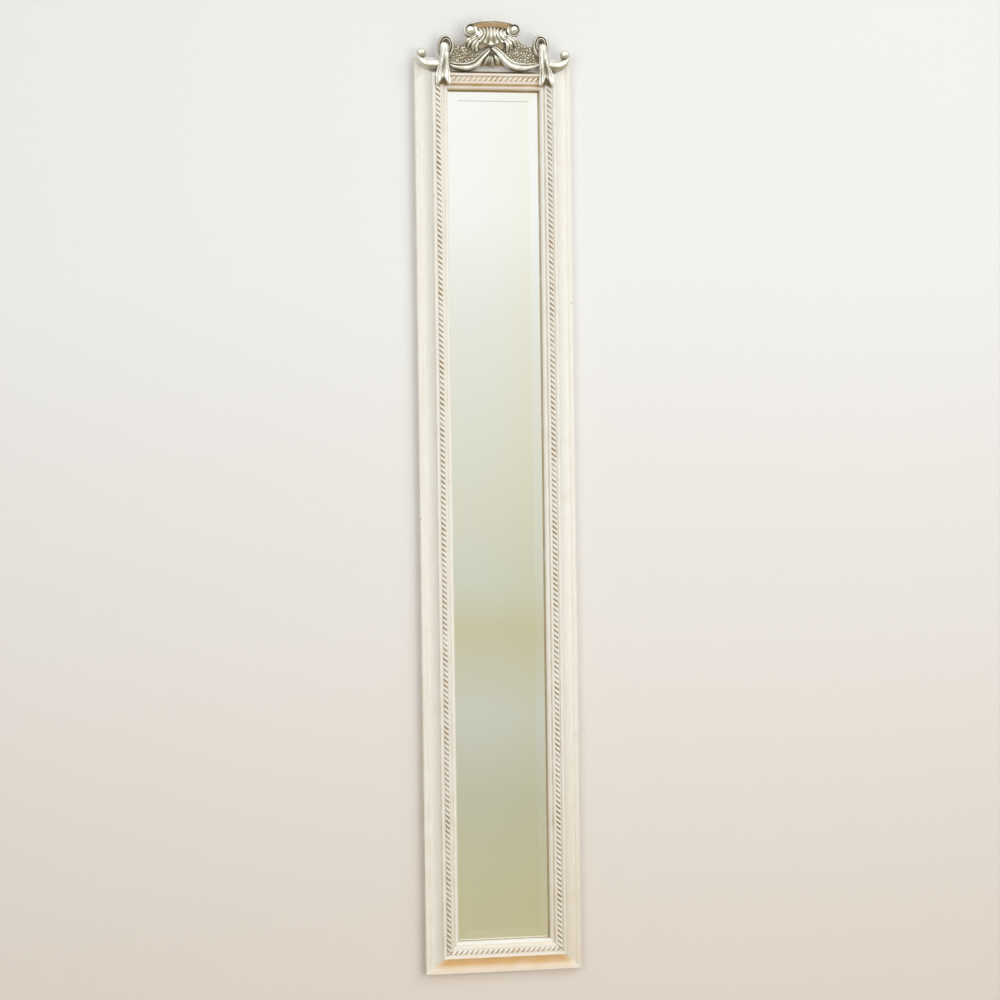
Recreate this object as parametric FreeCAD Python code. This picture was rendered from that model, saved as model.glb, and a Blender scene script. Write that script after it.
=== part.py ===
import FreeCAD, Part
import math
import os

# Narrow wall mirror: a mitred moulded frame with a laid-in rope strip, a bevelled
# glass and a ribbon crest.  Millimetres, +Z up, front towards -Y.
# The origin lies on the wall plane at the height of the hanger's hinge axis.

Vector = FreeCAD.Vector

# Overall sizes
FRAME_W = 225.0
FRAME_H = 1304.0
WALL_GAP = 6.0
HANGER_DROP = 9.0

# Moulding, from the outer edge to the sight edge; heights are from the frame's back
EDGE_H = 13.0
EDGE_ROUND = 2.5
OUTER_FILLET_W = 7.0
QUIRK_W = 1.0
QUIRK_D = 1.0
COVE_W = 16.2
FACE_H = 26.0
INNER_FILLET_W = 4.0
REED_W = 3.2
REED_H = 24.0
GROOVE_W = 1.4
GROOVE_D = 1.6
LIP_W = 5.4
LIP_RISE = 3.5
LIP_EDGE = 6.0
REBATE_W = 6.0

# Rope strip
ROPE_D = 8.0
ROPE_PITCH = 7.4
ROPE_STRANDS = 4
ROPE_BASE_H = 1.0
ROPE_VALLEY_D = 1.3
ROPE_FLOOR_H = 21.0
ROPE_SIDE_CLEAR = 0.15
ROPE_ANGLES_DEG = (-90.0, -45.0, 0.0, 45.0, 90.0)

# Glass, backing and what holds them
GLASS_T = 4.0
GLASS_CLEAR = 1.0
GLASS_SEAT = 0.1
BEVEL_W = 20.0
BEVEL_DROP = 1.8
BACKING_T = 3.0
BACK_RECESS = 5.25
POINT_T = 0.7
POINT_W = 8.0
POINT_LENGTH = 15.0
POINT_BITE = 6.5
POINT_PITCH = 200.0
POINT_SHOULDER_SHARE = 0.55

# Wedges across the mitres
WEDGE_LEG = 6.0
WEDGE_T = 0.8
WEDGE_DEPTH = 8.0
WEDGE_OUTER = 9.0
WEDGE_INNER = 25.0

# Hanger, screws and bumpers
RING_WIRE_D = 2.5
RING_HALF_W = 9.0
RING_CORNER_R = 2.5
HINGE_CLEAR = 0.2
STRAP_W = 12.0
STRAP_T = 1.0
STRAP_LENGTH = 27.0
STRAP_HOLE_DROP = 20.0
SCREW_SHANK_D = 3.2
SCREW_HEAD_D = 7.0
SCREW_HEAD_H = 2.0
SCREW_CLEAR = 0.05
HANGER_SCREW_LENGTH = 13.0
CREST_SCREW_X = 45.0
CREST_SCREW_DROP = 9.5
CREST_SCREW_GRIP = 5.0
BUMPER_D = 12.0
BUMPER_ROUND = 1.0
BUMPER_INSET = 16.0

# Crest board; rises and drops are measured from the frame's top edge
SEAT_GAP = 0.2
BOARD_T = 7.8
BOARD_MARGIN = 3.0
BOARD_NECK_X = 36.6
BOARD_NECK_RISE = 23.5
BOARD_SHOULDER_X = 54.0
BOARD_SHOULDER_RISE = 14.4
BOARD_SAG = 3.0
BOARD_FOOT_DROP = 15.5
BOARD_ARCH_RISE = 2.0
BOARD_ARCH_X = 13.0

# Hood, volutes and shell
HOOD_RISE = 50.0
HOOD_R = 88.0
HOOD_BAND = 8.0
HOOD_FILLET = 1.6
HOOD_PROUD = 13.0
HOOD_LOW_PROUD = 7.0
VOLUTE_X = 30.3
VOLUTE_RISE = 36.8
VOLUTE_R = 9.0
VOLUTE_PROUD = 7.5
BALL_R = 6.3
HOOD_HOLLOW_SHARES = (0.62, 0.22)
SHELL_RIBS = 9
SHELL_FLUTE_SHARE = 0.3
SHELL_PROUD = 8.0
SHELL_BELLY = 3.0
SHELL_FOOT_RISE = 17.0
SHELL_FOOT_X = 14.0
SHELL_WING_X = 38.5
SHELL_WING_RISE = 19.0
SHELL_PARTING_DEG = 300.0
SHELL_LEVEL_SHARES = ((0.17, 1.03, 0.5), (0.38, 0.96, 0.8), (0.58, 0.82, 1.0), (0.89, 0.85, 0.62))
LEAF_ROOT_X = 31.0
LEAF_ROOT_RISE = 25.0
LEAF_LENGTH = 21.0
LEAF_R = 4.6
LEAF_LOBES = 3
LEAF_LEAN_DEG = 24.0
LEAF_SPREAD_DEG = 22.0
LEAF_SIDE_SHARE = 0.8

# Swags and leaf drop
SWAG_START_X = 3.0
SWAG_START_RISE = 10.0
SWAG_BELLY_DROP = 14.0
SWAG_END_DROP = 8.0
SWAG_END_INSET = 4.0
SWAG_T = 13.0
SWAG_PROUD = 8.5
SWAG_FOLDS = 3
SWAG_FOLD_DEPTH_SHARE = 0.16
SWAG_PATH_SHARES = ((0.0, 0.0), (0.28, 0.55), (0.58, 1.0), (0.84, 0.93), (1.0, 0.76))
SWAG_GIRTH_SHARES = (0.5, 0.8, 1.0, 0.88, 0.5)
FOLD_EDGE_SHARE = 0.55
FOLD_CROWN_SHARE = 0.28
PETAL_BELLY_SHARE = 0.42
PETAL_SINK_SHARE = 0.7
DROP_TOP_RISE = 7.0
DROP_LENGTH = 23.0
DROP_PETAL_R = 3.8
DROP_SPREAD_DEG = 42.0
DROP_PETALS = 5
DROP_SIDE_SHARE = 0.7
DROP_BOSS_R = 3.6

# Bows, tails and scroll arms
BOW_OUT = 2.0
LOOP_RISE = 13.8
LOOP_HALF_W = 11.5
LOOP_HALF_H = 17.3
LOOP_WIRE_R = 3.2
LOOP_PROUD = 2.2
LOOP_FOLD_R = 2.0
LOOP_FOLD_PROUD = 3.4
TAIL_TOP_RISE = 18.5
TAIL_DROP = 43.5
TAIL_LEAN = 7.0
TAIL_TOP_W = 5.0
TAIL_FOOT_W = 22.0
TAIL_PROUD = 5.5
TAIL_FOLDS = 3
TAIL_FOLD_DEPTH_SHARE = 0.3
TAIL_NOTCH = 7.0
TAIL_LEVEL_SHARES = (0.0, 0.07, 0.22, 0.45, 0.74, 1.0)
TAIL_WIDTH_SHARES = (0.0, 0.24, 0.42, 0.55, 0.9, 1.0)
TAIL_PROUD_SHARES = (0.35, 0.85, 1.0, 1.0, 1.0, 0.9)
ARM_BALL_INSET = 9.5
ARM_BALL_RISE = 3.8
ARM_BALL_R = 6.6
ARM_R = 6.3
ARM_DROP = 12.2
ARM_START = 7.0
ARM_OUT = 2.0
ARM_PROUD = 7.0
ARM_PATH_SHARES = ((0.0, -0.8), (0.36, -1.0), (0.78, -0.7), (0.99, 0.0), (0.95, 0.55))
ARM_GIRTH_SHARES = (0.85, 1.0, 0.86, 0.56, 0.3)

# Derived sizes
CHANNEL_W = ROPE_D + 2 * ROPE_SIDE_CLEAR
COVE_START = OUTER_FILLET_W + QUIRK_W
FACE_START = COVE_START + COVE_W
CHANNEL_START = FACE_START + INNER_FILLET_W
REED_START = CHANNEL_START + CHANNEL_W
GROOVE_START = REED_START + REED_W
LIP_START = GROOVE_START + GROOVE_W
MOULD_W = LIP_START + LIP_W
GLASS_LAP = REBATE_W - GLASS_CLEAR
LAP_DROP = BEVEL_DROP * max(0.0, 1.0 - GLASS_LAP / BEVEL_W)
BOARD_BACK_H = BACK_RECESS
GLASS_BACK_H = BOARD_BACK_H + BACKING_T
GLASS_FRONT_H = GLASS_BACK_H + GLASS_T
REBATE_H = GLASS_FRONT_H - LAP_DROP + GLASS_SEAT
LIP_EDGE_H = REBATE_H + LIP_EDGE
LIP_H = LIP_EDGE_H + LIP_RISE
HALF_W = FRAME_W / 2
SIGHT_HALF_W = HALF_W - MOULD_W
Y_BACK = -WALL_GAP
Z_TOP = HANGER_DROP
Z_BOTTOM = Z_TOP - FRAME_H
CREST_BACK_H = EDGE_H + SEAT_GAP
CREST_FACE_H = CREST_BACK_H + BOARD_T
BOW_X = SIGHT_HALF_W + BOW_OUT
RING_R = RING_WIRE_D / 2
LOOP_EYE_R = RING_R + HINGE_CLEAR
LOOP_OUT_R = LOOP_EYE_R + STRAP_T
HINGE_Y = Y_BACK + LOOP_OUT_R
TAIL_BACK_H = max(FACE_H, ROPE_FLOOR_H + ROPE_BASE_H + ROPE_D / 2) + SEAT_GAP

X_AXIS = Vector(1, 0, 0)
Y_AXIS = Vector(0, 1, 0)
Z_AXIS = Vector(0, 0, 1)


def y_at(height):
    """Y of a plane at a height above the frame's back."""
    return Y_BACK - height


def crest_point(x, rise, height=CREST_FACE_H):
    """Point of the crest: x, rise above the frame's top, height above its back."""
    return Vector(x, y_at(height), Z_TOP + rise)


def line(a, b):
    """Straight edge."""
    return Part.makeLine(a, b)


def arc(a, mid, b):
    """Circular edge through three points."""
    return Part.Arc(a, mid, b).toShape()


def face_of(edges):
    """Flat face inside a closed run of edges."""
    return Part.Face(Part.Wire(Part.__sortEdges__(edges)))


def polygon_face(points):
    """Flat face with straight sides."""
    return Part.Face(Part.makePolygon(list(points) + [points[0]]))


def slab(face, back, front):
    """Face drawn at y = 0, pushed out between two heights above the frame's back."""
    solid = face.extrude(Vector(0, back - front, 0))
    solid.translate(Vector(0, y_at(back), 0))
    return solid


def mirrored(shape):
    """The same piece on the other side of the middle plane."""
    return shape.mirror(Vector(0, 0, 0), X_AXIS)


def front_part(shape, back, reach):
    """What of a shape lies in front of a height above the frame's back."""
    box = shape.BoundBox
    low = Vector(box.XMin - reach, y_at(back) - box.YLength - reach, box.ZMin - reach)
    room = Part.makeBox(
        box.XLength + 2 * reach, box.YLength + reach, box.ZLength + 2 * reach, low
    )
    return shape.common(room)


def profile_edges(place):
    """Edges of the moulding's section; place turns (width, height) into a point."""
    cove_rise = FACE_H - (EDGE_H - QUIRK_D)
    cove_r = (COVE_W ** 2 + cove_rise ** 2) / (2 * cove_rise)
    half_turn = math.asin(COVE_W / cove_r) / 2
    cove_mid = place(
        COVE_START + cove_r * math.sin(half_turn),
        EDGE_H - QUIRK_D + cove_r * (1 - math.cos(half_turn)),
    )
    round_in = EDGE_ROUND * (1 - math.sqrt(0.5))
    lip_mid = place(LIP_START + LIP_W / 2, LIP_H)
    corners = [
        place(0, 0),
        place(0, EDGE_H - EDGE_ROUND),
        place(EDGE_ROUND, EDGE_H),
        place(OUTER_FILLET_W, EDGE_H),
        place(OUTER_FILLET_W, EDGE_H - QUIRK_D),
        place(COVE_START, EDGE_H - QUIRK_D),
        place(FACE_START, FACE_H),
        place(CHANNEL_START, FACE_H),
        place(CHANNEL_START, ROPE_FLOOR_H),
        place(REED_START, ROPE_FLOOR_H),
        place(REED_START, REED_H),
        place(GROOVE_START, REED_H),
        place(GROOVE_START, REED_H - GROOVE_D - LIP_RISE),
        place(LIP_START, REED_H - GROOVE_D - LIP_RISE),
        place(MOULD_W, LIP_EDGE_H),
        place(MOULD_W, REBATE_H),
        place(MOULD_W - REBATE_W, REBATE_H),
        place(MOULD_W - REBATE_W, 0),
    ]
    bends = {1: place(round_in, EDGE_H - round_in), 5: cove_mid, 13: lip_mid}
    edges = []
    for i, start in enumerate(corners):
        end = corners[(i + 1) % len(corners)]
        edges.append(arc(start, bends[i], end) if i in bends else line(start, end))
    return edges


def member(place, run, corner_points):
    """Length of moulding, cut to its mitres."""
    bar = face_of(profile_edges(place)).extrude(run)
    return bar.common(slab(polygon_face(corner_points), 0, FACE_H + LIP_H))


def side_corners(depth):
    """Mitred outline of the left stile, to a depth from the outer edge."""
    return [
        Vector(-HALF_W, 0, Z_TOP),
        Vector(-HALF_W + depth, 0, Z_TOP - depth),
        Vector(-HALF_W + depth, 0, Z_BOTTOM + depth),
        Vector(-HALF_W, 0, Z_BOTTOM),
    ]


def rail_corners(depth, edge_z, inward):
    """Mitred outline of a rail, to a depth from the outer edge."""
    return [
        Vector(-HALF_W, 0, edge_z),
        Vector(HALF_W, 0, edge_z),
        Vector(HALF_W - depth, 0, edge_z + inward * depth),
        Vector(-HALF_W + depth, 0, edge_z + inward * depth),
    ]


def rope_surface(start, along, across, length):
    """Rope strip: ruled faces between the crest and valley lines of each strand."""
    out = Vector(0, -1, 0)
    radius = ROPE_D / 2
    count = int(math.ceil(length / ROPE_PITCH)) + 2

    def strand_line(step):
        points = []
        for angle in ROPE_ANGLES_DEG:
            turn = math.radians(angle)
            fade = math.cos(turn) ** 0.5 if abs(angle) < 90 else 0.0
            r = radius - ROPE_VALLEY_D * fade * (step % 2)
            shift = ROPE_PITCH * (step / 2 + ROPE_STRANDS * angle / 360)
            points.append(
                start + along * shift + across * (r * math.sin(turn)) + out * (r * math.cos(turn))
            )
        return points

    lines = [strand_line(step) for step in range(-2, 2 * count + 1)]
    faces = []
    for low, high in zip(lines, lines[1:]):
        for i in range(len(low) - 1):
            faces.append(polygon_face([low[i], low[i + 1], high[i + 1]]))
            faces.append(polygon_face([low[i], high[i + 1], high[i]]))
    down = out * -ROPE_BASE_H
    left = [points[0] for points in lines]
    right = [points[-1] for points in lines]
    for rim in (left, right):
        faces.append(polygon_face(rim + [rim[-1] + down, rim[0] + down]))
    for ends in (lines[0], lines[-1]):
        fan = [ends[0] + down] + ends + [ends[-1] + down]
        for i in range(1, len(fan) - 1):
            faces.append(polygon_face([fan[0], fan[i], fan[i + 1]]))
    faces.append(polygon_face([left[0] + down, right[0] + down, right[-1] + down, left[-1] + down]))
    return Part.Solid(Part.Shell(faces))


def rope(start, along, across, length, corner_points):
    """Rope strip in its channel, cut to the mitres."""
    solid = rope_surface(start, along, across, length)
    return solid.common(slab(polygon_face(corner_points), ROPE_FLOOR_H, FACE_H + LIP_H))


def rope_start(corner_x, corner_z, dx, dz):
    """Middle of a rope's round at its first corner, one pitch before the mitre."""
    middle = CHANNEL_START + CHANNEL_W / 2
    return Vector(
        corner_x + dx * middle, y_at(ROPE_FLOOR_H + ROPE_BASE_H), corner_z + dz * middle
    )


def glass():
    """Bevelled glass: a plate whose front edge falls away on four sides."""
    half_w = SIGHT_HALF_W + GLASS_LAP
    low = Z_BOTTOM + MOULD_W - GLASS_LAP
    high = Z_TOP - MOULD_W + GLASS_LAP
    plate = slab(polygon_face(box_points(half_w, low, high, 0)), GLASS_BACK_H, GLASS_FRONT_H - BEVEL_DROP)
    rims = []
    for inset, height in ((0, GLASS_FRONT_H - BEVEL_DROP), (BEVEL_W, GLASS_FRONT_H)):
        ring = [p + Vector(0, y_at(height), 0) for p in box_points(half_w, low, high, inset)]
        rims.append(Part.makePolygon(ring + [ring[0]]))
    return plate.fuse(Part.makeLoft(rims, True, True)).removeSplitter()


def box_points(half_w, low, high, inset):
    """Corners of an upright rectangle about the middle plane."""
    return [
        Vector(-half_w + inset, 0, low + inset),
        Vector(half_w - inset, 0, low + inset),
        Vector(half_w - inset, 0, high - inset),
        Vector(-half_w + inset, 0, high - inset),
    ]


def backing():
    """Board behind the glass."""
    half_w = SIGHT_HALF_W + GLASS_LAP
    low = Z_BOTTOM + MOULD_W - GLASS_LAP
    high = Z_TOP - MOULD_W + GLASS_LAP
    return slab(polygon_face(box_points(half_w, low, high, 0)), BOARD_BACK_H, GLASS_BACK_H)


def glazing_point(foot, outward, sideways):
    """Flat driven point; foot is on the rebate's wall, the tip goes outward."""
    half = sideways * (POINT_W / 2)
    tail = foot - outward * (POINT_LENGTH - POINT_BITE)
    neck = foot + outward * (POINT_BITE * POINT_SHOULDER_SHARE)
    tip = foot + outward * POINT_BITE
    outline = [tail - half, neck - half, tip, neck + half, tail + half]
    return slab(polygon_face(outline), BOARD_BACK_H - POINT_T, BOARD_BACK_H)


def spread(low, high):
    """Places for glazing points along one side of the rebate."""
    count = max(1, round((high - low) / POINT_PITCH))
    return [low + (high - low) * (i + 0.5) / count for i in range(count)]


def glazing_points():
    """All the points, in order round the rebate."""
    wall_x = SIGHT_HALF_W + REBATE_W
    low = Z_BOTTOM + MOULD_W - REBATE_W
    high = Z_TOP - MOULD_W + REBATE_W
    points = []
    for z in spread(low, high):
        points.append(glazing_point(Vector(-wall_x, 0, z), -X_AXIS, Z_AXIS))
        points.append(glazing_point(Vector(wall_x, 0, z), X_AXIS, Z_AXIS))
    for x in spread(-wall_x, wall_x):
        points.append(glazing_point(Vector(x, 0, high), Z_AXIS, X_AXIS))
        points.append(glazing_point(Vector(x, 0, low), -Z_AXIS, X_AXIS))
    return points


def corner_wedges():
    """Angled wedges driven across the mitres from the back."""
    wedges = []
    for corner_z, inward in ((Z_TOP, -1), (Z_BOTTOM, 1)):
        for depth in (WEDGE_OUTER, WEDGE_INNER):
            x0 = -HALF_W + depth
            z0 = corner_z + inward * depth
            leg = inward * WEDGE_LEG
            thick = inward * WEDGE_T
            outline = [
                Vector(x0, 0, z0),
                Vector(x0 + WEDGE_LEG, 0, z0),
                Vector(x0 + WEDGE_LEG, 0, z0 + thick),
                Vector(x0 + WEDGE_T, 0, z0 + thick),
                Vector(x0 + WEDGE_T, 0, z0 + leg),
                Vector(x0, 0, z0 + leg),
            ]
            wedge = slab(polygon_face(outline), 0, WEDGE_DEPTH)
            wedges.append(wedge)
            wedges.append(mirrored(wedge))
    return wedges


def hanger_strap():
    """Strap with a rolled eye at the hinge and one screw hole."""
    half = STRAP_W / 2
    end = -STRAP_LENGTH + half
    outline = [
        line(Vector(-half, 0, 0), Vector(half, 0, 0)),
        line(Vector(half, 0, 0), Vector(half, 0, end)),
        arc(Vector(half, 0, end), Vector(0, 0, -STRAP_LENGTH), Vector(-half, 0, end)),
        line(Vector(-half, 0, end), Vector(-half, 0, 0)),
    ]
    plate = slab(face_of(outline), -STRAP_T, 0)
    axis = Vector(-half, HINGE_Y, 0)
    roll = Part.makeCylinder(LOOP_OUT_R, STRAP_W, axis, X_AXIS)
    eye = Part.makeCylinder(LOOP_EYE_R, STRAP_W, axis, X_AXIS)
    hole = Part.makeCylinder(
        SCREW_SHANK_D / 2 + SCREW_CLEAR, STRAP_T, Vector(0, Y_BACK, -STRAP_HOLE_DROP), Y_AXIS
    )
    return plate.fuse(roll).removeSplitter().cut(eye).cut(hole)


def hanger_ring():
    """Wire D: a straight bar in the strap's eye and a half-round bow below it."""
    w = RING_HALF_W
    c = RING_CORNER_R
    inner = c * (1 - math.sqrt(0.5))
    bow = [
        line(Vector(-w + c, HINGE_Y, 0), Vector(w - c, HINGE_Y, 0)),
        arc(Vector(w - c, HINGE_Y, 0), Vector(w - inner, HINGE_Y, -inner), Vector(w, HINGE_Y, -c)),
        arc(Vector(w, HINGE_Y, -c), Vector(0, HINGE_Y, -c - w), Vector(-w, HINGE_Y, -c)),
        arc(Vector(-w, HINGE_Y, -c), Vector(-w + inner, HINGE_Y, -inner), Vector(-w + c, HINGE_Y, 0)),
    ]
    section = Part.Wire(Part.makeCircle(RING_R, Vector(0, HINGE_Y, 0), X_AXIS))
    half_bar = line(Vector(0, HINGE_Y, 0), bow[0].Vertexes[1].Point)
    rest_bar = line(bow[0].Vertexes[0].Point, Vector(0, HINGE_Y, 0))
    path = Part.Wire([half_bar, bow[1], bow[2], bow[3], rest_bar])
    return path.makePipeShell([section], True, False).removeSplitter()


def turned(points, base, axis):
    """Solid of revolution from (radius, distance) points along an axis."""
    side = Vector(0, 0, 1) if abs(axis.z) < 0.5 else Vector(1, 0, 0)
    ring = [base + side * r + axis * d for r, d in points]
    return polygon_face(ring).revolve(base, axis, 360)


def hanger_screw():
    """Round-headed screw through the strap."""
    shank = SCREW_SHANK_D / 2
    head = SCREW_HEAD_D / 2
    seat = Vector(0, Y_BACK + STRAP_T, -STRAP_HOLE_DROP)
    end = -HANGER_SCREW_LENGTH
    body = turned([(0, end), (shank, end + shank), (shank, 0), (0, 0)], seat, Y_AXIS)
    ball_r = (head ** 2 + SCREW_HEAD_H ** 2) / (2 * SCREW_HEAD_H)
    ball = Part.makeSphere(ball_r, seat + Y_AXIS * (SCREW_HEAD_H - ball_r))
    cap = ball.common(Part.makeCylinder(head, SCREW_HEAD_H, seat, Y_AXIS))
    return body.fuse(cap)


def crest_screw(x, clear):
    """Sunk screw from the rail's back into the crest board."""
    shank = SCREW_SHANK_D / 2 + clear
    head = SCREW_HEAD_D / 2 + clear
    end = -(CREST_BACK_H + CREST_SCREW_GRIP)
    points = [(0, end), (shank, end + shank), (shank, shank - head), (head, 0), (0, 0)]
    return turned(points, Vector(x, Y_BACK, Z_TOP - CREST_SCREW_DROP), Y_AXIS)


def bumper(x):
    """Round bumper between a lower corner and the wall."""
    base = Vector(x, Y_BACK, Z_BOTTOM + BUMPER_INSET)
    pad = Part.makeCylinder(BUMPER_D / 2, WALL_GAP, base, Y_AXIS)
    rim = [e for e in pad.Edges if abs(e.CenterOfMass.y) < BUMPER_ROUND / 2]
    return pad.makeFillet(BUMPER_ROUND, rim)


def crest_board(rail_room):
    """Ground of the crest, fitted over the top rail's outer fillet and cove."""
    def at(x, rise, sign=1):
        return Vector(sign * x, 0, Z_TOP + rise)

    top = HOOD_RISE - BOARD_MARGIN
    neck = (BOARD_NECK_X, BOARD_NECK_RISE)
    shoulder = (BOARD_SHOULDER_X, BOARD_SHOULDER_RISE)
    dip = ((neck[0] + shoulder[0]) / 2, (neck[1] + shoulder[1]) / 2 - BOARD_SAG)
    side = [
        (VOLUTE_X, VOLUTE_RISE + VOLUTE_R - BOARD_MARGIN),
        (VOLUTE_X + VOLUTE_R - BOARD_MARGIN, VOLUTE_RISE),
        neck,
    ]
    below = [
        shoulder,
        (BOW_X, LOOP_RISE + LOOP_WIRE_R),
        (BOW_X + LOOP_WIRE_R, LOOP_RISE),
        (BOW_X, -SWAG_END_DROP),
        (BOARD_SHOULDER_X, -BOARD_FOOT_DROP),
        (BOARD_NECK_X, -BOARD_FOOT_DROP),
        (BOARD_ARCH_X, 0),
    ]
    edges = [arc(at(*side[0], -1), at(0, top), at(*side[0]))]
    edges.append(arc(at(*below[-1], -1), at(0, BOARD_ARCH_RISE), at(*below[-1])))
    for sign in (1, -1):
        for a, b in list(zip(side, side[1:])) + list(zip(below, below[1:])):
            edges.append(line(at(*a, sign), at(*b, sign)))
        edges.append(arc(at(*neck, sign), at(*dip, sign), at(*shoulder, sign)))
    return slab(face_of(edges), CREST_BACK_H, CREST_FACE_H).cut(rail_room)


def hood():
    """Arched cornice over the shell: a hollow profile turned about the arch's centre."""
    centre = crest_point(0, HOOD_RISE - HOOD_R, 0)
    inner = HOOD_R - HOOD_BAND
    reach = math.degrees(math.asin(VOLUTE_X / HOOD_R))

    def at(r, proud):
        return centre + Z_AXIS * r - Y_AXIS * (CREST_FACE_H + proud)

    step = HOOD_R - HOOD_FILLET
    up_share, out_share = HOOD_HOLLOW_SHARES
    hollow = at(
        inner + (step - inner) * up_share,
        HOOD_LOW_PROUD + (HOOD_PROUD - HOOD_LOW_PROUD) * out_share,
    )
    edges = [
        line(at(inner, 0), at(HOOD_R, 0)),
        line(at(HOOD_R, 0), at(HOOD_R, HOOD_PROUD)),
        line(at(HOOD_R, HOOD_PROUD), at(step, HOOD_PROUD)),
        arc(at(step, HOOD_PROUD), hollow, at(inner, HOOD_LOW_PROUD)),
        line(at(inner, HOOD_LOW_PROUD), at(inner, 0)),
    ]
    section = face_of(edges)
    section.rotate(centre, Y_AXIS, -reach)
    arch = section.revolve(centre, Y_AXIS, 2 * reach)
    for sign in (1, -1):
        arch = arch.cut(volute_room(sign))
    return arch


def volute_room(sign):
    """Space kept clear for a volute."""
    return Part.makeCylinder(
        VOLUTE_R + SEAT_GAP,
        HOOD_PROUD * 2,
        crest_point(sign * VOLUTE_X, VOLUTE_RISE, CREST_FACE_H - SEAT_GAP),
        -Y_AXIS,
    )


def volute():
    """Right volute: a rolled rim about a ball, turned in one piece."""
    centre = crest_point(VOLUTE_X, VOLUTE_RISE)
    rim = (VOLUTE_R - BALL_R) / 2
    bulge = BALL_R * math.sqrt(0.5)

    def at(r, proud):
        return centre + X_AXIS * r - Y_AXIS * proud

    edges = [
        line(at(0, 0), at(VOLUTE_R, 0)),
        line(at(VOLUTE_R, 0), at(VOLUTE_R, VOLUTE_PROUD)),
        arc(at(VOLUTE_R, VOLUTE_PROUD), at(VOLUTE_R - rim, VOLUTE_PROUD + rim), at(BALL_R, VOLUTE_PROUD)),
        arc(at(BALL_R, VOLUTE_PROUD), at(bulge, VOLUTE_PROUD + bulge), at(0, VOLUTE_PROUD + BALL_R)),
        line(at(0, VOLUTE_PROUD + BALL_R), at(0, 0)),
    ]
    return face_of(edges).revolve(centre, Y_AXIS, 360)


def folded_section(centre, across, width, proud, folds, depth_share):
    """Closed section: a flat back and a front of rounded folds side by side."""
    out = -Y_AXIS

    def at(share, height):
        return centre + across * (width * share) + out * height

    valleys = []
    for i in range(folds + 1):
        share = i / folds - 0.5
        fall = FOLD_EDGE_SHARE * (2 * share) ** 2
        valleys.append(at(share, proud * (1 - depth_share) * (1 - fall)))
    edges = []
    for i in range(folds):
        share = (i + 0.5) / folds - 0.5
        crown = at(share, proud * (1 - FOLD_CROWN_SHARE * (2 * share) ** 2))
        edges.append(arc(valleys[i], crown, valleys[i + 1]))
    edges.append(line(valleys[-1], at(0.5, 0)))
    edges.append(line(at(0.5, 0), at(-0.5, 0)))
    edges.append(line(at(-0.5, 0), valleys[0]))
    return Part.Wire(edges)


def shell():
    """Fluted shell: lofted flutes trimmed under the hood and to an arched foot."""
    sections = []
    for rise_share, half_share, proud_share in SHELL_LEVEL_SHARES:
        place = crest_point(0, HOOD_RISE * rise_share)
        width = 2 * SHELL_WING_X * half_share
        flute = SHELL_FLUTE_SHARE * width / SHELL_RIBS
        proud = SHELL_PROUD * proud_share + flute
        sections.append(folded_section(place, X_AXIS, width, proud, SHELL_RIBS, flute / proud))
    fan = Part.makeLoft(sections, True, False)

    def at(x, rise, sign=1):
        return Vector(sign * x, 0, Z_TOP + rise)

    foot = (SHELL_FOOT_X, SHELL_FOOT_RISE - SHELL_BELLY)
    wing = (SHELL_WING_X, SHELL_WING_RISE)
    arch_r = HOOD_R - HOOD_BAND - SEAT_GAP
    arch_low = HOOD_RISE - HOOD_R
    room_r = VOLUTE_R + SEAT_GAP
    lift = VOLUTE_RISE - arch_low
    reach = math.hypot(VOLUTE_X, lift)
    bearing = math.atan2(lift, VOLUTE_X)
    swing = math.acos((arch_r ** 2 + reach ** 2 - room_r ** 2) / (2 * arch_r * reach))
    meet = (arch_r * math.cos(bearing + swing), arch_low + arch_r * math.sin(bearing + swing))
    start_turn = math.atan2(meet[1] - VOLUTE_RISE, meet[0] - VOLUTE_X)
    end_turn = math.radians(SHELL_PARTING_DEG)

    def round_volute(turn):
        return (VOLUTE_X + room_r * math.cos(turn), VOLUTE_RISE + room_r * math.sin(turn))

    side = round_volute((start_turn + end_turn) / 2)
    parting = round_volute(end_turn)
    edges = [
        arc(at(*meet, -1), at(0, arch_low + arch_r), at(*meet)),
        arc(at(*foot, -1), at(0, SHELL_FOOT_RISE), at(*foot)),
    ]
    for sign in (1, -1):
        edges.append(arc(at(*meet, sign), at(*side, sign), at(*parting, sign)))
        edges.append(line(at(*parting, sign), at(*wing, sign)))
        edges.append(line(at(*wing, sign), at(*foot, sign)))
    return fan.common(slab(face_of(edges), CREST_FACE_H, CREST_FACE_H + HOOD_PROUD * 2))


def spindle(length, radius):
    """Pointed petal hanging from the origin: a bowed line turned about its chord."""
    tip = Z_AXIS * -length
    belly = tip * PETAL_BELLY_SHARE + X_AXIS * radius
    section = face_of([spline([Vector(0, 0, 0), belly, tip]).toShape(), line(tip, Vector(0, 0, 0))])
    return section.revolve(Vector(0, 0, 0), Z_AXIS, 360)


def petals(root, count, length, radius, lean_deg, spread_deg, side_share):
    """Fan of pointed petals from one root, the outer ones shorter."""
    middle = (count - 1) / 2
    fan = []
    for i in range(count):
        off = (i - middle) / middle
        petal = spindle(length * (1 - (1 - side_share) * abs(off)), radius)
        petal.rotate(Vector(0, 0, 0), Y_AXIS, lean_deg + spread_deg * off)
        petal.translate(root)
        fan.append(petal)
    return fan


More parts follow.
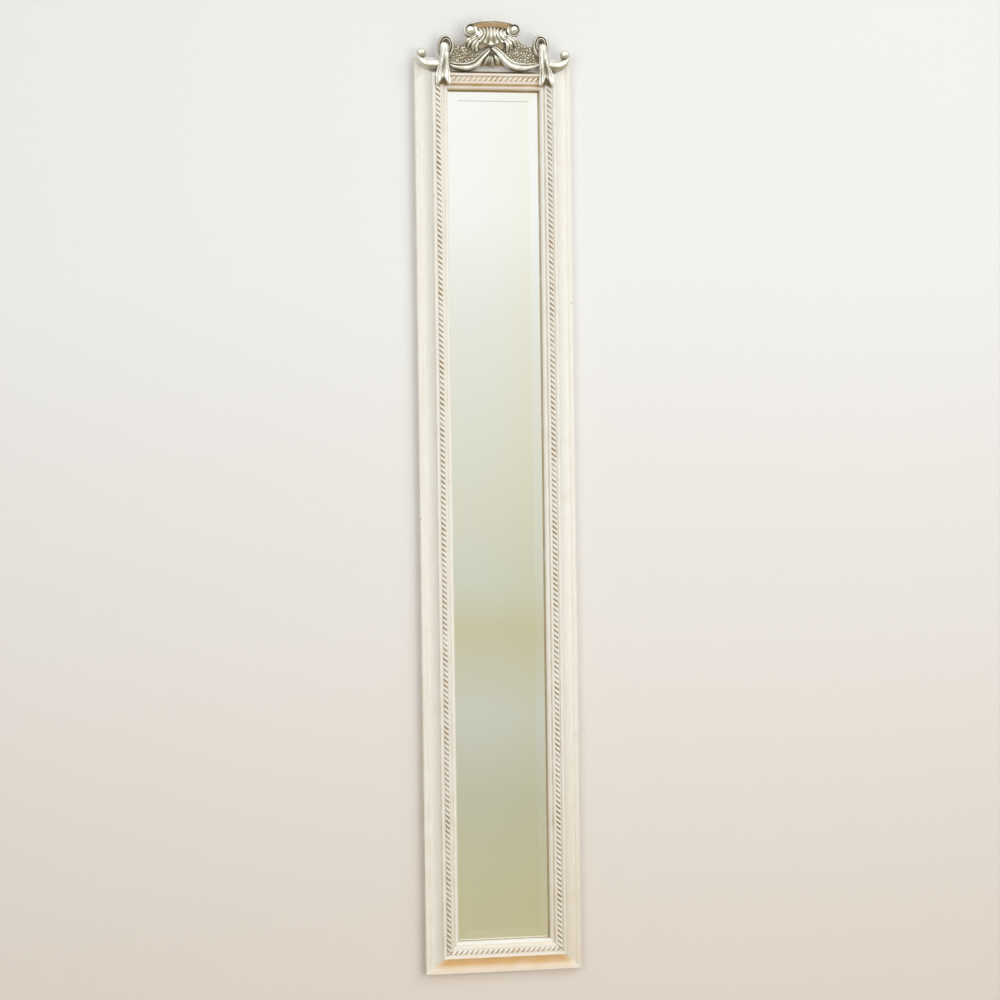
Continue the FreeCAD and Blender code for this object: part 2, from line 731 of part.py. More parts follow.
def curled_leaf():
    """Right-hand leaf under the shell: three lobes that point down and inwards."""
    root = crest_point(LEAF_ROOT_X, LEAF_ROOT_RISE, CREST_FACE_H + LEAF_R * PETAL_SINK_SHARE)
    lobes = petals(root, LEAF_LOBES, LEAF_LENGTH, LEAF_R, LEAF_LEAN_DEG, LEAF_SPREAD_DEG, LEAF_SIDE_SHARE)
    return front_part(lobes[0].multiFuse(lobes[1:]), CREST_FACE_H, LEAF_LENGTH)


def leaf_drop():
    """Fan of petals hanging from a boss where the swags meet."""
    root = crest_point(0, DROP_TOP_RISE, CREST_FACE_H + DROP_PETAL_R * PETAL_SINK_SHARE)
    fan = petals(root, DROP_PETALS, DROP_LENGTH, DROP_PETAL_R, 0, DROP_SPREAD_DEG, DROP_SIDE_SHARE)
    return front_part(Part.makeSphere(DROP_BOSS_R, root).multiFuse(fan), CREST_FACE_H, DROP_LENGTH)


def spline(points):
    """Smooth curve through points."""
    curve = Part.BSplineCurve()
    curve.interpolate(points)
    return curve


def stations(curve, count):
    """Evenly spaced places on a curve, each with its direction."""
    found = []
    for i in range(count):
        t = curve.FirstParameter + (curve.LastParameter - curve.FirstParameter) * i / (count - 1)
        direction = curve.tangent(t)[0]
        found.append((curve.value(t), direction))
    return found


def swag():
    """Right-hand swag: folded drapery lofted along its hanging line."""
    span = BOW_X - SWAG_END_INSET - SWAG_START_X
    fall = SWAG_START_RISE + SWAG_BELLY_DROP
    line_points = []
    for along, down in SWAG_PATH_SHARES:
        line_points.append(crest_point(SWAG_START_X + span * along, SWAG_START_RISE - fall * down))
    places = stations(spline(line_points), len(SWAG_GIRTH_SHARES))
    sections = []
    for (place, direction), girth in zip(places, SWAG_GIRTH_SHARES):
        width = SWAG_T * girth
        proud = SWAG_PROUD * girth
        across = direction.cross(Y_AXIS)
        sections.append(folded_section(place, across, width, proud, SWAG_FOLDS, SWAG_FOLD_DEPTH_SHARE))
    return Part.makeLoft(sections, True, False)


def tail():
    """Right-hand ribbon tail: widening folds, cut to a notched end."""
    height = TAIL_TOP_RISE + TAIL_DROP
    sections = []
    for level, widen, swell in zip(TAIL_LEVEL_SHARES, TAIL_WIDTH_SHARES, TAIL_PROUD_SHARES):
        width = TAIL_TOP_W + (TAIL_FOOT_W - TAIL_TOP_W) * widen
        place = crest_point(BOW_X + TAIL_LEAN * level, TAIL_TOP_RISE - height * level, TAIL_BACK_H)
        sections.append(
            folded_section(place, X_AXIS, width, TAIL_PROUD * swell, TAIL_FOLDS, TAIL_FOLD_DEPTH_SHARE)
        )
    ribbon = Part.makeLoft(sections, True, False)
    foot_x = BOW_X + TAIL_LEAN
    foot_z = Z_TOP - TAIL_DROP
    notch = [
        Vector(foot_x - TAIL_FOOT_W / 2, 0, foot_z),
        Vector(foot_x, 0, foot_z + TAIL_NOTCH),
        Vector(foot_x + TAIL_FOOT_W / 2, 0, foot_z),
    ]
    return ribbon.cut(slab(polygon_face(notch), TAIL_BACK_H - SEAT_GAP, TAIL_BACK_H + 2 * TAIL_PROUD))


def oval_ring(half_w, wire_r, proud):
    """Oval ring of round section about the right-hand bow's middle."""
    ring = Part.makeTorus(half_w - wire_r, wire_r, Vector(0, 0, 0), Y_AXIS)
    stretch = FreeCAD.Matrix()
    stretch.scale(1, 1, LOOP_HALF_H / LOOP_HALF_W)
    ring = ring.transformGeometry(stretch)
    ring.translate(crest_point(BOW_X, LOOP_RISE, CREST_FACE_H + proud))
    return ring


def bow_loop():
    """Right-hand bow loop: an oval ring with a second fold inside it."""
    outer = oval_ring(LOOP_HALF_W, LOOP_WIRE_R, LOOP_PROUD)
    fold = oval_ring(LOOP_HALF_W - LOOP_WIRE_R, LOOP_FOLD_R, LOOP_FOLD_PROUD)
    return front_part(outer.fuse(fold), CREST_FACE_H, LOOP_HALF_H)


def scroll_arm(rail_room):
    """Right-hand scroll: a tapered arm that curls up round a ball."""
    start = BOW_X + ARM_START
    span = HALF_W - ARM_OUT - ARM_R * ARM_GIRTH_SHARES[-2] - start
    height = CREST_FACE_H + ARM_PROUD - ARM_R
    route = [crest_point(start + span * a, ARM_DROP * d, height) for a, d in ARM_PATH_SHARES]
    places = stations(spline(route), len(ARM_GIRTH_SHARES))
    sections = []
    for (place, direction), girth in zip(places, ARM_GIRTH_SHARES):
        sections.append(Part.Wire(Part.makeCircle(ARM_R * girth, place, direction)))
    arm = Part.makeLoft(sections, True, False)
    ball = Part.makeSphere(ARM_BALL_R, crest_point(HALF_W - ARM_BALL_INSET, ARM_BALL_RISE, height))
    return front_part(arm.fuse(ball), CREST_BACK_H, ARM_R).cut(rail_room)


def build():
    """Make every piece of the mirror, keyed by its name."""
    points = glazing_points()
    wedges = corner_wedges()
    screw = hanger_screw()
    crest_screw_x = (-CREST_SCREW_X, CREST_SCREW_X)

    left_outline = side_corners(MOULD_W)
    right_outline = [Vector(-p.x, p.y, p.z) for p in left_outline]
    top_outline = rail_corners(MOULD_W, Z_TOP, -1)
    bottom_outline = rail_corners(MOULD_W, Z_BOTTOM, 1)
    up = Z_AXIS * FRAME_H
    over = X_AXIS * FRAME_W
    left = member(lambda u, h: Vector(-HALF_W + u, y_at(h), Z_BOTTOM), up, left_outline)
    bottom = member(lambda u, h: Vector(-HALF_W, y_at(h), Z_BOTTOM + u), over, bottom_outline)
    top = member(lambda u, h: Vector(-HALF_W, y_at(h), Z_TOP - u), over, top_outline)
    rail_room = top.copy()
    rail_room.translate(Vector(0, -SEAT_GAP, 0))

    cutters = points + wedges
    left = left.cut(Part.makeCompound(cutters))
    bottom = bottom.cut(Part.makeCompound(cutters))
    top = top.cut(Part.makeCompound(cutters))
    pilot = Part.makeCylinder(
        SCREW_SHANK_D / 2 + SCREW_CLEAR,
        HANGER_SCREW_LENGTH,
        Vector(0, Y_BACK, -STRAP_HOLE_DROP),
        -Y_AXIS,
    )
    for room in [pilot] + [crest_screw(x, SCREW_CLEAR) for x in crest_screw_x]:
        top = top.cut(room)

    board = crest_board(rail_room)
    for x in crest_screw_x:
        board = board.cut(crest_screw(x, SCREW_CLEAR))
    drop = leaf_drop()
    fan = shell()
    leaf = curled_leaf().cut(fan)
    ribbon = tail()
    loop = bow_loop().cut(ribbon)
    drape = swag().cut(drop).cut(ribbon).cut(loop)
    arm = scroll_arm(rail_room).cut(ribbon).cut(loop)

    left_rope = rope(rope_start(-HALF_W, Z_TOP, 1, 0), -Z_AXIS, X_AXIS, FRAME_H, left_outline)
    right_rope = rope(rope_start(HALF_W, Z_TOP, -1, 0), -Z_AXIS, X_AXIS, FRAME_H, right_outline)
    top_rope = rope(rope_start(-HALF_W, Z_TOP, 0, -1), X_AXIS, Z_AXIS, FRAME_W, top_outline)
    bottom_rope = rope(rope_start(-HALF_W, Z_BOTTOM, 0, 1), X_AXIS, Z_AXIS, FRAME_W, bottom_outline)

    pieces = {
        "left_stile": left,
        "right_stile": mirrored(left),
        "top_rail": top,
        "bottom_rail": bottom,
        "left_rope": left_rope,
        "right_rope": right_rope,
        "top_rope": top_rope,
        "bottom_rope": bottom_rope,
        "corner_wedges": Part.makeCompound(wedges),
        "mirror_glass": glass(),
        "backing_board": backing(),
        "glazing_points": Part.makeCompound(points),
        "hanger_strap": hanger_strap(),
        "hanger_ring": hanger_ring(),
        "hanger_screw": screw,
        "crest_screws": Part.makeCompound([crest_screw(x, 0) for x in crest_screw_x]),
        "wall_bumpers": Part.makeCompound([bumper(HALF_W - BUMPER_INSET), bumper(BUMPER_INSET - HALF_W)]),
        "crest_board": board,
        "crest_hood": hood(),
        "crest_shell": fan,
        "leaf_drop": drop,
    }
    paired = {
        "volute": volute(),
        "curled_leaf": leaf,
        "swag": drape,
        "bow_loop": loop,
        "bow_tail": ribbon,
        "scroll_arm": arm,
    }
    for name, shape in paired.items():
        pieces[name + "_right"] = shape
        pieces[name + "_left"] = mirrored(shape)
    return pieces


os.makedirs("parts", exist_ok=True)
for node, solid in build().items():
    solid.exportStep("parts/" + node + ".step")
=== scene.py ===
"""Looks of a narrow wall mirror: a painted rope moulding, a bevelled glass and a silvered ribbon crest.

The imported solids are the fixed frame, and every piece here is made in that frame: the wall is y = 0,
the front looks towards -Y, and z = 0 is the hinge axis of the hanger. Sizes in the classes are in
millimetres; points() turns them to metres.
"""

import logging
import math
from dataclasses import dataclass, field
from enum import Enum
from typing import Any, Iterable, Sequence

import bmesh
import bpy
import numpy as np
from bpy.types import Material, Node, NodeSocket, NodeTree, Object
from mathutils import Euler, Matrix, Vector
from mathutils.bvhtree import BVHTree

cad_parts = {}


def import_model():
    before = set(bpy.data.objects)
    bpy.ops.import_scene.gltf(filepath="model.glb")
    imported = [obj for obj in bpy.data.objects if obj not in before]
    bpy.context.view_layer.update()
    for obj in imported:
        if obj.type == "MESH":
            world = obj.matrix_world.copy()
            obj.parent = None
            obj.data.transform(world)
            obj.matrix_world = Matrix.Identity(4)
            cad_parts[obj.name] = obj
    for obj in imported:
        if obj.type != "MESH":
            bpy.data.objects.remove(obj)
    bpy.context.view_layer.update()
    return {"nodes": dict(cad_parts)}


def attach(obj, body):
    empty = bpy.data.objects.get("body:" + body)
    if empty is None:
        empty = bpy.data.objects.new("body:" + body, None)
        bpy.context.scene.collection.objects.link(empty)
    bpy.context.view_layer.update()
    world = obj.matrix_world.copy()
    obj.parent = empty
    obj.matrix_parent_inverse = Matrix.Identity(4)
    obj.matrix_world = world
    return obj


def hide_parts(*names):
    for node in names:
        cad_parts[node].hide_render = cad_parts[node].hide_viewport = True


LOG = logging.getLogger("mirror")
MM = 0.001

# Where the frame stands, as in the part: its back is clear of the wall and its top above the hinge.
BACK = 6.0
TOP = 9.0
FRAME_W = 225.0
FRAME_H = 1304.0
BOTTOM = TOP - FRAME_H
HALF_W = FRAME_W / 2

# Heights of the crest above the frame's back.
CREST_BACK = 13.3
CREST_FACE = 21.0

# The body that carries every piece made here.
BODY = "mirror"

# The spans in which a noise texture mostly lies and in which it changes most.
NOISE_SPAN = (0.3, 0.7)
NOISE_HEART = (0.35, 0.65)

# The angle between one ray and the next that spreads a fan of rays evenly.
GOLDEN_ANGLE = 2.39996


class Side(Enum):
    """Which half of the crest a piece is on."""

    LEFT = -1
    RIGHT = 1

    @property
    def label(self) -> str:
        """Its word in the names of pieces."""
        return self.name.lower()


class Brush(Enum):
    """The way the paint was brushed, as the stretch of its strokes along x, y and z."""

    UPRIGHT = (1.0, 1.0, 0.08)
    ACROSS = (0.08, 1.0, 1.0)


class Member(Enum):
    """The four lengths of moulding."""

    LEFT = "left"
    RIGHT = "right"
    TOP = "top"
    BOTTOM = "bottom"

    @property
    def upright(self) -> bool:
        """Whether it is a stile."""
        return self in (Member.LEFT, Member.RIGHT)

    @property
    def solid(self) -> str:
        """The name of its solid."""
        return f"{self.value}_{'stile' if self.upright else 'rail'}"

    @property
    def brush(self) -> Brush:
        """The way its paint was brushed."""
        return Brush.UPRIGHT if self.upright else Brush.ACROSS


def linear(code: str) -> tuple[float, float, float, float]:
    """Turn an sRGB hex colour to linear light.

    Args:
        code: Six hex digits.

    Returns:
        Red, green, blue and an alpha of 1.
    """
    parts = [int(code[i:i + 2], 16) / 255 for i in (0, 2, 4)]
    red, green, blue = [p / 12.92 if p <= 0.04045 else ((p + 0.055) / 1.055) ** 2.4 for p in parts]
    return red, green, blue, 1.0


def feed(tree: NodeTree, node: Node, inputs: dict | Sequence) -> None:
    """Set inputs of a node.

    Args:
        tree: The tree it is in.
        node: The node.
        inputs: For each socket, by name or place or in order, a value, or a socket or node that feeds it.
            A node stands for its first output.
    """
    pairs = inputs.items() if isinstance(inputs, dict) else enumerate(inputs)
    for key, value in pairs:
        source = value.outputs[0] if isinstance(value, Node) else value
        if isinstance(source, NodeSocket):
            tree.links.new(source, node.inputs[key])
        else:
            node.inputs[key].default_value = source


def put(tree: NodeTree, kind: str, inputs: dict | Sequence = (), **settings: Any) -> Node:
    """Add a node to a tree.

    Args:
        tree: The shader or geometry tree.
        kind: The node's type.
        inputs: Its inputs, as feed() takes them.
        settings: The node's own properties.

    Returns:
        The new node.
    """
    node = tree.nodes.new(kind)
    for name, value in settings.items():
        setattr(node, name, value)
    feed(tree, node, inputs)
    return node


def new_object(name: str, data: Any) -> Object:
    """Add an object to the scene.

    Args:
        name: Its name.
        data: Its mesh, lamp or camera.

    Returns:
        The object, at the origin.
    """
    made = bpy.data.objects.new(name, data)
    bpy.context.scene.collection.objects.link(made)
    return made


def points(x: Any, rise: Any, height: Any) -> np.ndarray:
    """Place points by the frame's own measures.

    Args:
        x: Distance to the right of the middle, mm.
        rise: Distance above the frame's top edge, mm.
        height: Distance in front of the frame's back, mm.

    Returns:
        Points in metres, in the last axis.
    """
    x, rise, height = np.broadcast_arrays(*(np.asarray(v, float) for v in (x, rise, height)))
    return np.stack([x, -(BACK + height), TOP + rise], -1) * MM


def smooth(knots: Sequence[Sequence[float]], count: int) -> np.ndarray:
    """Draw a smooth curve through rows whose first two values are a place.

    Args:
        knots: Rows of x, rise and whatever else changes along the curve.
        count: How many rows to give back.

    Returns:
        Rows evenly spaced along the curve.
    """
    rows = np.asarray(knots, float)
    steps = np.concatenate([[0], np.cumsum(np.linalg.norm(np.diff(rows[:, :2], axis=0), axis=1))])
    slopes = np.gradient(rows, steps, axis=0)
    along = np.linspace(0, steps[-1], count)
    i = np.clip(np.searchsorted(steps, along, side="right") - 1, 0, len(rows) - 2)
    span = (steps[i + 1] - steps[i])[:, None]
    f = (along - steps[i])[:, None] / span
    return (
        (2 * f**3 - 3 * f**2 + 1) * rows[i]
        + (f**3 - 2 * f**2 + f) * span * slopes[i]
        + (3 * f**2 - 2 * f**3) * rows[i + 1]
        + (f**3 - f**2) * span * slopes[i + 1]
    )


def ease(low: float, high: float, value: np.ndarray) -> np.ndarray:
    """Rise smoothly from 0 at low to 1 at high."""
    f = np.clip((value - low) / (high - low), 0, 1)
    return f * f * (3 - 2 * f)


def square_to(path: np.ndarray, radius: np.ndarray, ring: np.ndarray) -> tuple[np.ndarray, np.ndarray]:
    """Set a ring square to a path at each of its points.

    Args:
        path: Rows of x and rise.
        radius: Radius at each row, or at each row and angle.
        ring: Angles round the ring, from the path's left.

    Returns:
        x and rise of every point, row by row.
    """
    way = np.gradient(path, axis=0)
    way /= np.linalg.norm(way, axis=1)[:, None]
    return path[:, :1] - way[:, 1:] * radius * np.cos(ring), path[:, 1:] + way[:, :1] * radius * np.cos(ring)


@dataclass
class Draft:
    """Points and faces of one piece before it becomes an object, with the attributes of each point."""

    places: list[np.ndarray] = field(default_factory=list)
    faces: list[tuple[int, ...]] = field(default_factory=list)
    values: dict[str, list[np.ndarray]] = field(default_factory=lambda: {"recess": [], "gild": [], "raw": []})
    count: int = 0

    def add(self, places: np.ndarray, faces: Iterable[tuple[int, ...]], **values: Any) -> None:
        """Add a closed shell.

        Args:
            places: Points in metres.
            faces: Places in that list.
            values: Attribute name to one value or one per point.
        """
        flat = np.asarray(places, float).reshape(-1, 3)
        self.places.append(flat)
        self.faces.extend(tuple(i + self.count for i in face) for face in faces)
        for name, held in self.values.items():
            held.append(np.broadcast_to(np.asarray(values.get(name, 0.0), float).reshape(-1), (len(flat),)))
        self.count += len(flat)

    def relief(self, front: np.ndarray, back: float, around: bool = False, gild: Any = 0.0) -> None:
        """Add a solid with a modelled front and a flat back.

        Args:
            front: Grid of points in metres.
            back: Height of the flat back, mm.
            around: Whether the grid's rows close on themselves.
            gild: How much gilding shows, one value or one per point of the grid.
        """
        rows, cols, _ = front.shape
        rear = front.copy()
        rear[..., 1] = -(BACK + back) * MM
        n = rows * cols
        faces = []
        for i in range(rows if around else rows - 1):
            k = (i + 1) % rows
            for j in range(cols - 1):
                a, b, c, d = i * cols + j, k * cols + j, k * cols + j + 1, i * cols + j + 1
                faces += [(a, b, c, d), (n + d, n + c, n + b, n + a)]
            for j in (0, cols - 1):
                a, b = i * cols + j, k * cols + j
                faces.append((a, n + a, n + b, b) if j == 0 else (b, n + b, n + a, a))
        if not around:
            for i in (0, rows - 1):
                for j in range(cols - 1):
                    a, b = i * cols + j, i * cols + j + 1
                    faces.append((b, n + b, n + a, a) if i == 0 else (a, n + a, n + b, b))
        shown = np.broadcast_to(np.asarray(gild, float), (rows, cols)).reshape(-1)
        rim = np.zeros((rows, cols))
        rim[:, [0, -1]] = 0.5
        if not around:
            rim[[0, -1]] = 0.5
        self.add(
            np.concatenate([front.reshape(-1, 3), rear.reshape(-1, 3)]), faces,
            gild=np.concatenate([shown, np.zeros(n)]), raw=np.repeat([0.0, 1.0], n),
            recess=np.tile(rim.reshape(-1), 2),
        )

    def loft(self, rings: np.ndarray, **values: Any) -> None:
        """Add a solid through closed rings of points.

        Args:
            rings: Ring by ring, in metres.
            values: Attribute name to one value, one per point of a ring, or one per point.
        """
        rows, cols, _ = rings.shape
        faces = [
            (i * cols + j, i * cols + (j + 1) % cols, (i + 1) * cols + (j + 1) % cols, (i + 1) * cols + j)
            for i in range(rows - 1)
            for j in range(cols)
        ]
        faces += [tuple(range(cols))[::-1], tuple(range((rows - 1) * cols, rows * cols))]
        spread = {
            name: np.broadcast_to(np.asarray(value, float), (rows, cols)).reshape(-1)
            for name, value in values.items()
        }
        self.add(rings, faces, **spread)

    def piece(self, name: str, crease: float = 45.0) -> Object:
        """Make the object, with its faces outwards.

        Args:
            name: The piece's name.
            crease: The angle past which an edge stays sharp, degrees.

        Returns:
            The object, at the origin.
        """
        mesh = bpy.data.meshes.new(name)
        mesh.from_pydata(np.concatenate(self.places).tolist(), [], self.faces)
        for label, held in self.values.items():
            layer = mesh.attributes.new(label, "FLOAT", "POINT")
            layer.data.foreach_set("value", np.concatenate(held).astype(np.float32))
        work = bmesh.new()
        work.from_mesh(mesh)
        bmesh.ops.recalc_face_normals(work, faces=work.faces)
        work.to_mesh(mesh)
        work.free()
        mesh.shade_smooth()
        mesh.set_sharp_from_angle(angle=math.radians(crease))
        return new_object(name, mesh)


def dress(piece: Object, finish: Material, node: str) -> None:
    """Give a piece its finish and its body, and hide the solid it stands for.

    Args:
        piece: The piece.
        finish: Its material.
        node: The solid it replaces.
    """
    piece.data.materials.clear()
    piece.data.materials.append(finish)
    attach(piece, BODY)
    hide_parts(node)
    LOG.info("%s: %d faces", piece.name, len(piece.data.polygons))


def grown(host: Object, tree: NodeTree, **sizes: Any) -> Object:
    """Run a geometry tree on an object and keep what it makes as a plain mesh.

    Args:
        host: The object that the tree starts from.
        tree: The tree.
        sizes: Value for each named input, with _ for a space.

    Returns:
        The same object with the new mesh.
    """
    modifier = host.modifiers.new(tree.name, "NODES")
    modifier.node_group = tree
    for item in tree.interface.items_tree:
        key = item.name.lower().replace(" ", "_")
        if item.in_out == "INPUT" and key in sizes:
            modifier[item.identifier] = sizes[key]
    graph = bpy.context.evaluated_depsgraph_get()
    shown = host.evaluated_get(graph)
    mesh = bpy.data.meshes.new_from_object(shown, preserve_all_data_layers=True, depsgraph=graph)
    host.modifiers.remove(modifier)
    host.data = mesh
    return host


def blank_tree(name: str, inputs: dict[str, str]) -> tuple[NodeTree, Node]:
    """Start a geometry tree.

    Args:
        name: Its name.
        inputs: Name of each input to its socket type.

    Returns:
        The tree and its input node.
    """
    tree = bpy.data.node_groups.new(name, "GeometryNodeTree")
    tree.interface.new_socket("Geometry", in_out="INPUT", socket_type="NodeSocketGeometry")
    for label, kind in inputs.items():
        tree.interface.new_socket(label, in_out="INPUT", socket_type=kind)
    tree.interface.new_socket("Geometry", in_out="OUTPUT", socket_type="NodeSocketGeometry")
    return tree, put(tree, "NodeGroupInput")


def end_tree(tree: NodeTree, shape: Node, finish: NodeSocket) -> None:
    """Close a geometry tree with its shape made real and its material set.

    Args:
        tree: The tree.
        shape: The node that gives the geometry so far.
        finish: The input that holds the material.
    """
    real = put(tree, "GeometryNodeRealizeInstances", {"Geometry": shape})
    done = put(tree, "GeometryNodeSetMaterial", {"Geometry": real, "Material": finish})
    put(tree, "NodeGroupOutput", {"Geometry": done})


def blank_material(name: str) -> tuple[Material, NodeTree, Node]:
    """Start a material.

    Args:
        name: Its name.

    Returns:
        The material, its tree and its surface shader.
    """
    made = bpy.data.materials.new(name)
    made.use_nodes = True
    return made, made.node_tree, made.node_tree.nodes["Principled BSDF"]


@dataclass(frozen=True)
class DistressedPaint:
    """Cream paint brushed over moulded softwood and rubbed back.

    Brush strokes run along the member, tan glaze lies in the hollows, a dark tone of painted shade and soot
    lies where the recess is deepest, a warm film low on the frame is painted warm light from the floor, and
    wood shows at worn arrises.
    """

    paint: str = "F1EEE3"
    pale: str = "F7F5EE"
    glaze: str = "D0BB95"
    wood: str = "9C7B52"
    soot: str = "4B3E2A"
    # How cloudy the glaze is. A warm film of it low on the frame, painted warm light from the floor, and more
    # glaze in the hollows come in between two levels, in metres.
    patchy: float = 0.6
    film: float = 0.12
    film_from: tuple[float, float] = (-0.8, -1.3)
    gather: float = 1.5
    gather_from: tuple[float, float] = (-0.7, -1.25)
    # Where noise and recess let a thin film, chips, and the dark tone of painted shade and soot show, and how
    # much of each there is at most.
    cloud_film: float = 0.16
    cloud_from: tuple[float, float] = (0.56, 0.8)
    arris_bite: float = 0.2
    chip_from: tuple[float, float] = (0.88, 0.98)
    chip_share: float = 0.7
    soot_from: tuple[float, float] = (1.05, 2.0)
    soot_share: float = 0.85
    gloss: tuple[float, float] = (0.46, 0.62)
    stroke_mm: float = 2.2
    mottle_mm: float = 26.0
    chip_mm: float = 7.0
    grain_mm: float = 0.9
    stroke_relief: float = 0.6
    relief_mm: float = 0.25
    bump: float = 0.25

    def material(self, name: str, brush: Brush) -> Material:
        """Build the paint.

        Args:
            name: The material's name.
            brush: The way it was brushed.

        Returns:
            The material.
        """
        made, tree, shader = blank_material(name)
        where = put(tree, "ShaderNodeTexCoord").outputs["Object"]
        level = put(tree, "ShaderNodeSeparateXYZ", (where,)).outputs["Z"]
        drawn = put(tree, "ShaderNodeMapping", {"Vector": where, "Scale": brush.value})
        stroke, mottle, chips, grain = (
            put(tree, "ShaderNodeTexNoise", {"Vector": spot, "Scale": 1 / (size * MM), "Detail": detail})
            for spot, size, detail in (
                (drawn, self.stroke_mm, 3.0), (where, self.mottle_mm, 4.0),
                (where, self.chip_mm, 5.0), (where, self.grain_mm, 2.0),
            )
        )
        recess, arris = (
            put(tree, "ShaderNodeAttribute", attribute_name=label).outputs["Fac"]
            for label in ("recess", "arris")
        )
        streak = put(tree, "ShaderNodeMapRange", (stroke, *NOISE_HEART))
        # Glaze lies in the hollows in clouds, and more of it low on the frame.
        cloud = put(tree, "ShaderNodeMapRange", (mottle, *NOISE_SPAN, 1 - self.patchy, 1 + self.patchy / 2))
        pooled = put(tree, "ShaderNodeMapRange", (level, *self.gather_from, 1.0, 1 + self.gather))
        laid = put(tree, "ShaderNodeMath", (recess, pooled), operation="MULTIPLY")
        glaze_with_shade = put(tree, "ShaderNodeMath", (laid, cloud), operation="MULTIPLY", use_clamp=True)
        # A thin film of it dulls the open faces in clouds; towards the foot it is painted warm light from the
        # floor.
        thin = put(tree, "ShaderNodeMapRange", (mottle, *self.cloud_from, 0.0, self.cloud_film))
        floor_light = put(tree, "ShaderNodeMapRange", (level, *self.film_from, 0.0, self.film))
        film = put(tree, "ShaderNodeMath", (thin, floor_light), operation="ADD")
        glaze_shade_and_warm_light = put(tree, "ShaderNodeMath", (glaze_with_shade, film), operation="MAXIMUM")
        # Paint is chipped to the wood most at the arrises, and the dark tone of painted shade and soot goes
        # where the recess is deepest.
        bite = put(tree, "ShaderNodeMath", (arris, self.arris_bite, chips), operation="MULTIPLY_ADD")
        worn = put(tree, "ShaderNodeMapRange", (bite, *self.chip_from, 0.0, self.chip_share))
        shade_share = put(tree, "ShaderNodeMapRange", (recess, *self.soot_from, 0.0, self.soot_share))
        colour: Any = linear(self.paint)
        coats = ((streak, self.pale), (glaze_shade_and_warm_light, self.glaze), (worn, self.wood), (shade_share, self.soot))
        for share, code in coats:
            coat = {0: share, 6: colour, 7: linear(code)}
            colour = put(tree, "ShaderNodeMix", coat, data_type="RGBA").outputs[2]
        relief = put(tree, "ShaderNodeMath", (stroke, self.stroke_relief, grain), operation="MULTIPLY_ADD")
        bump = put(tree, "ShaderNodeBump", {
            "Height": relief, "Strength": self.bump, "Distance": self.relief_mm * MM,
        })
        rough = put(tree, "ShaderNodeMapRange", (stroke, *NOISE_SPAN, *self.gloss))
        feed(tree, shader, {"Base Color": colour, "Roughness": rough, "Normal": bump})
        return made


@dataclass(frozen=True)
class SilverLeaf:
    """Silver leaf burnished on cast composition.

    Its crowns are bright, olive-brown patina lies in the hollows, and some of them are gilded.
    """

    silver: str = "CFCCBE"
    bright: str = "F6F6F0"
    patina: str = "66501F"
    gold: str = "D8C0A0"
    cast: str = "C9BCA3"
    # What gilding takes off the patina, what specks add to it, and where it and its dull gloss come in.
    gild_clean: float = -0.3
    speck_bite: float = 0.35
    grime_from: tuple[float, float] = (0.32, 0.88)
    grime_share: float = 0.9
    gloss_from: tuple[float, float] = (0.2, 0.8)
    gloss: tuple[float, float] = (0.2, 0.55)
    metallic: float = 0.72
    speck_mm: float = 2.4
    cloud_mm: float = 14.0
    relief_mm: float = 0.3
    bump: float = 0.2

    def material(self, name: str) -> Material:
        """Build the leaf.

        Args:
            name: The material's name.

        Returns:
            The material.
        """
        made, tree, shader = blank_material(name)
        where = put(tree, "ShaderNodeTexCoord").outputs["Object"]
        speck, cloud = (
            put(tree, "ShaderNodeTexNoise", {"Vector": where, "Scale": 1 / (size * MM), "Detail": detail})
            for size, detail in ((self.speck_mm, 4.0), (self.cloud_mm, 2.0))
        )
        recess, gild, raw = (
            put(tree, "ShaderNodeAttribute", attribute_name=label).outputs["Fac"]
            for label in ("recess", "gild", "raw")
        )
        rubbed = put(tree, "ShaderNodeMapRange", (cloud, *NOISE_HEART))
        # Gilding was kept cleaner than the silver, and specks break the patina's edge.
        clean = put(tree, "ShaderNodeMath", (gild, self.gild_clean, recess), operation="MULTIPLY_ADD")
        broken = put(tree, "ShaderNodeMath", (speck, self.speck_bite, clean), operation="MULTIPLY_ADD")
        grime = put(tree, "ShaderNodeMapRange", (broken, *self.grime_from, 0.0, self.grime_share))
        colour: Any = linear(self.silver)
        coats = ((rubbed, self.bright), (gild, self.gold), (grime, self.patina), (raw, self.cast))
        for share, code in coats:
            coat = {0: share, 6: colour, 7: linear(code)}
            colour = put(tree, "ShaderNodeMix", coat, data_type="RGBA").outputs[2]
        rough = put(tree, "ShaderNodeMapRange", (broken, *self.gloss_from, *self.gloss))
        bump = put(tree, "ShaderNodeBump", {
            "Height": speck, "Strength": self.bump, "Distance": self.relief_mm * MM,
        })
        feed(tree, shader, {
            "Base Color": colour, "Roughness": rough, "Normal": bump, "Metallic": self.metallic,
        })
        return made


@dataclass(frozen=True)
class SilveredGlass:
    """Float glass silvered on its back: a clear mirror with a faint green cast and a little wipe haze."""

    tint: str = "FAFBF7"
    haze_mm: float = 70.0
    haze_from: tuple[float, float] = (0.45, 0.8)
    gloss: tuple[float, float] = (0.012, 0.05)

    def material(self, name: str) -> Material:
        """Build the mirror.

        Args:
            name: The material's name.

        Returns:
            The material.
        """
        made, tree, shader = blank_material(name)
        where = put(tree, "ShaderNodeTexCoord").outputs["Object"]
        haze = put(tree, "ShaderNodeTexNoise", {
            "Vector": where, "Scale": 1 / (self.haze_mm * MM), "Detail": 3.0,
        })
        rough = put(tree, "ShaderNodeMapRange", (haze, *self.haze_from, *self.gloss))
        feed(tree, shader, {"Base Color": linear(self.tint), "Metallic": 1.0, "Roughness": rough})
        return made


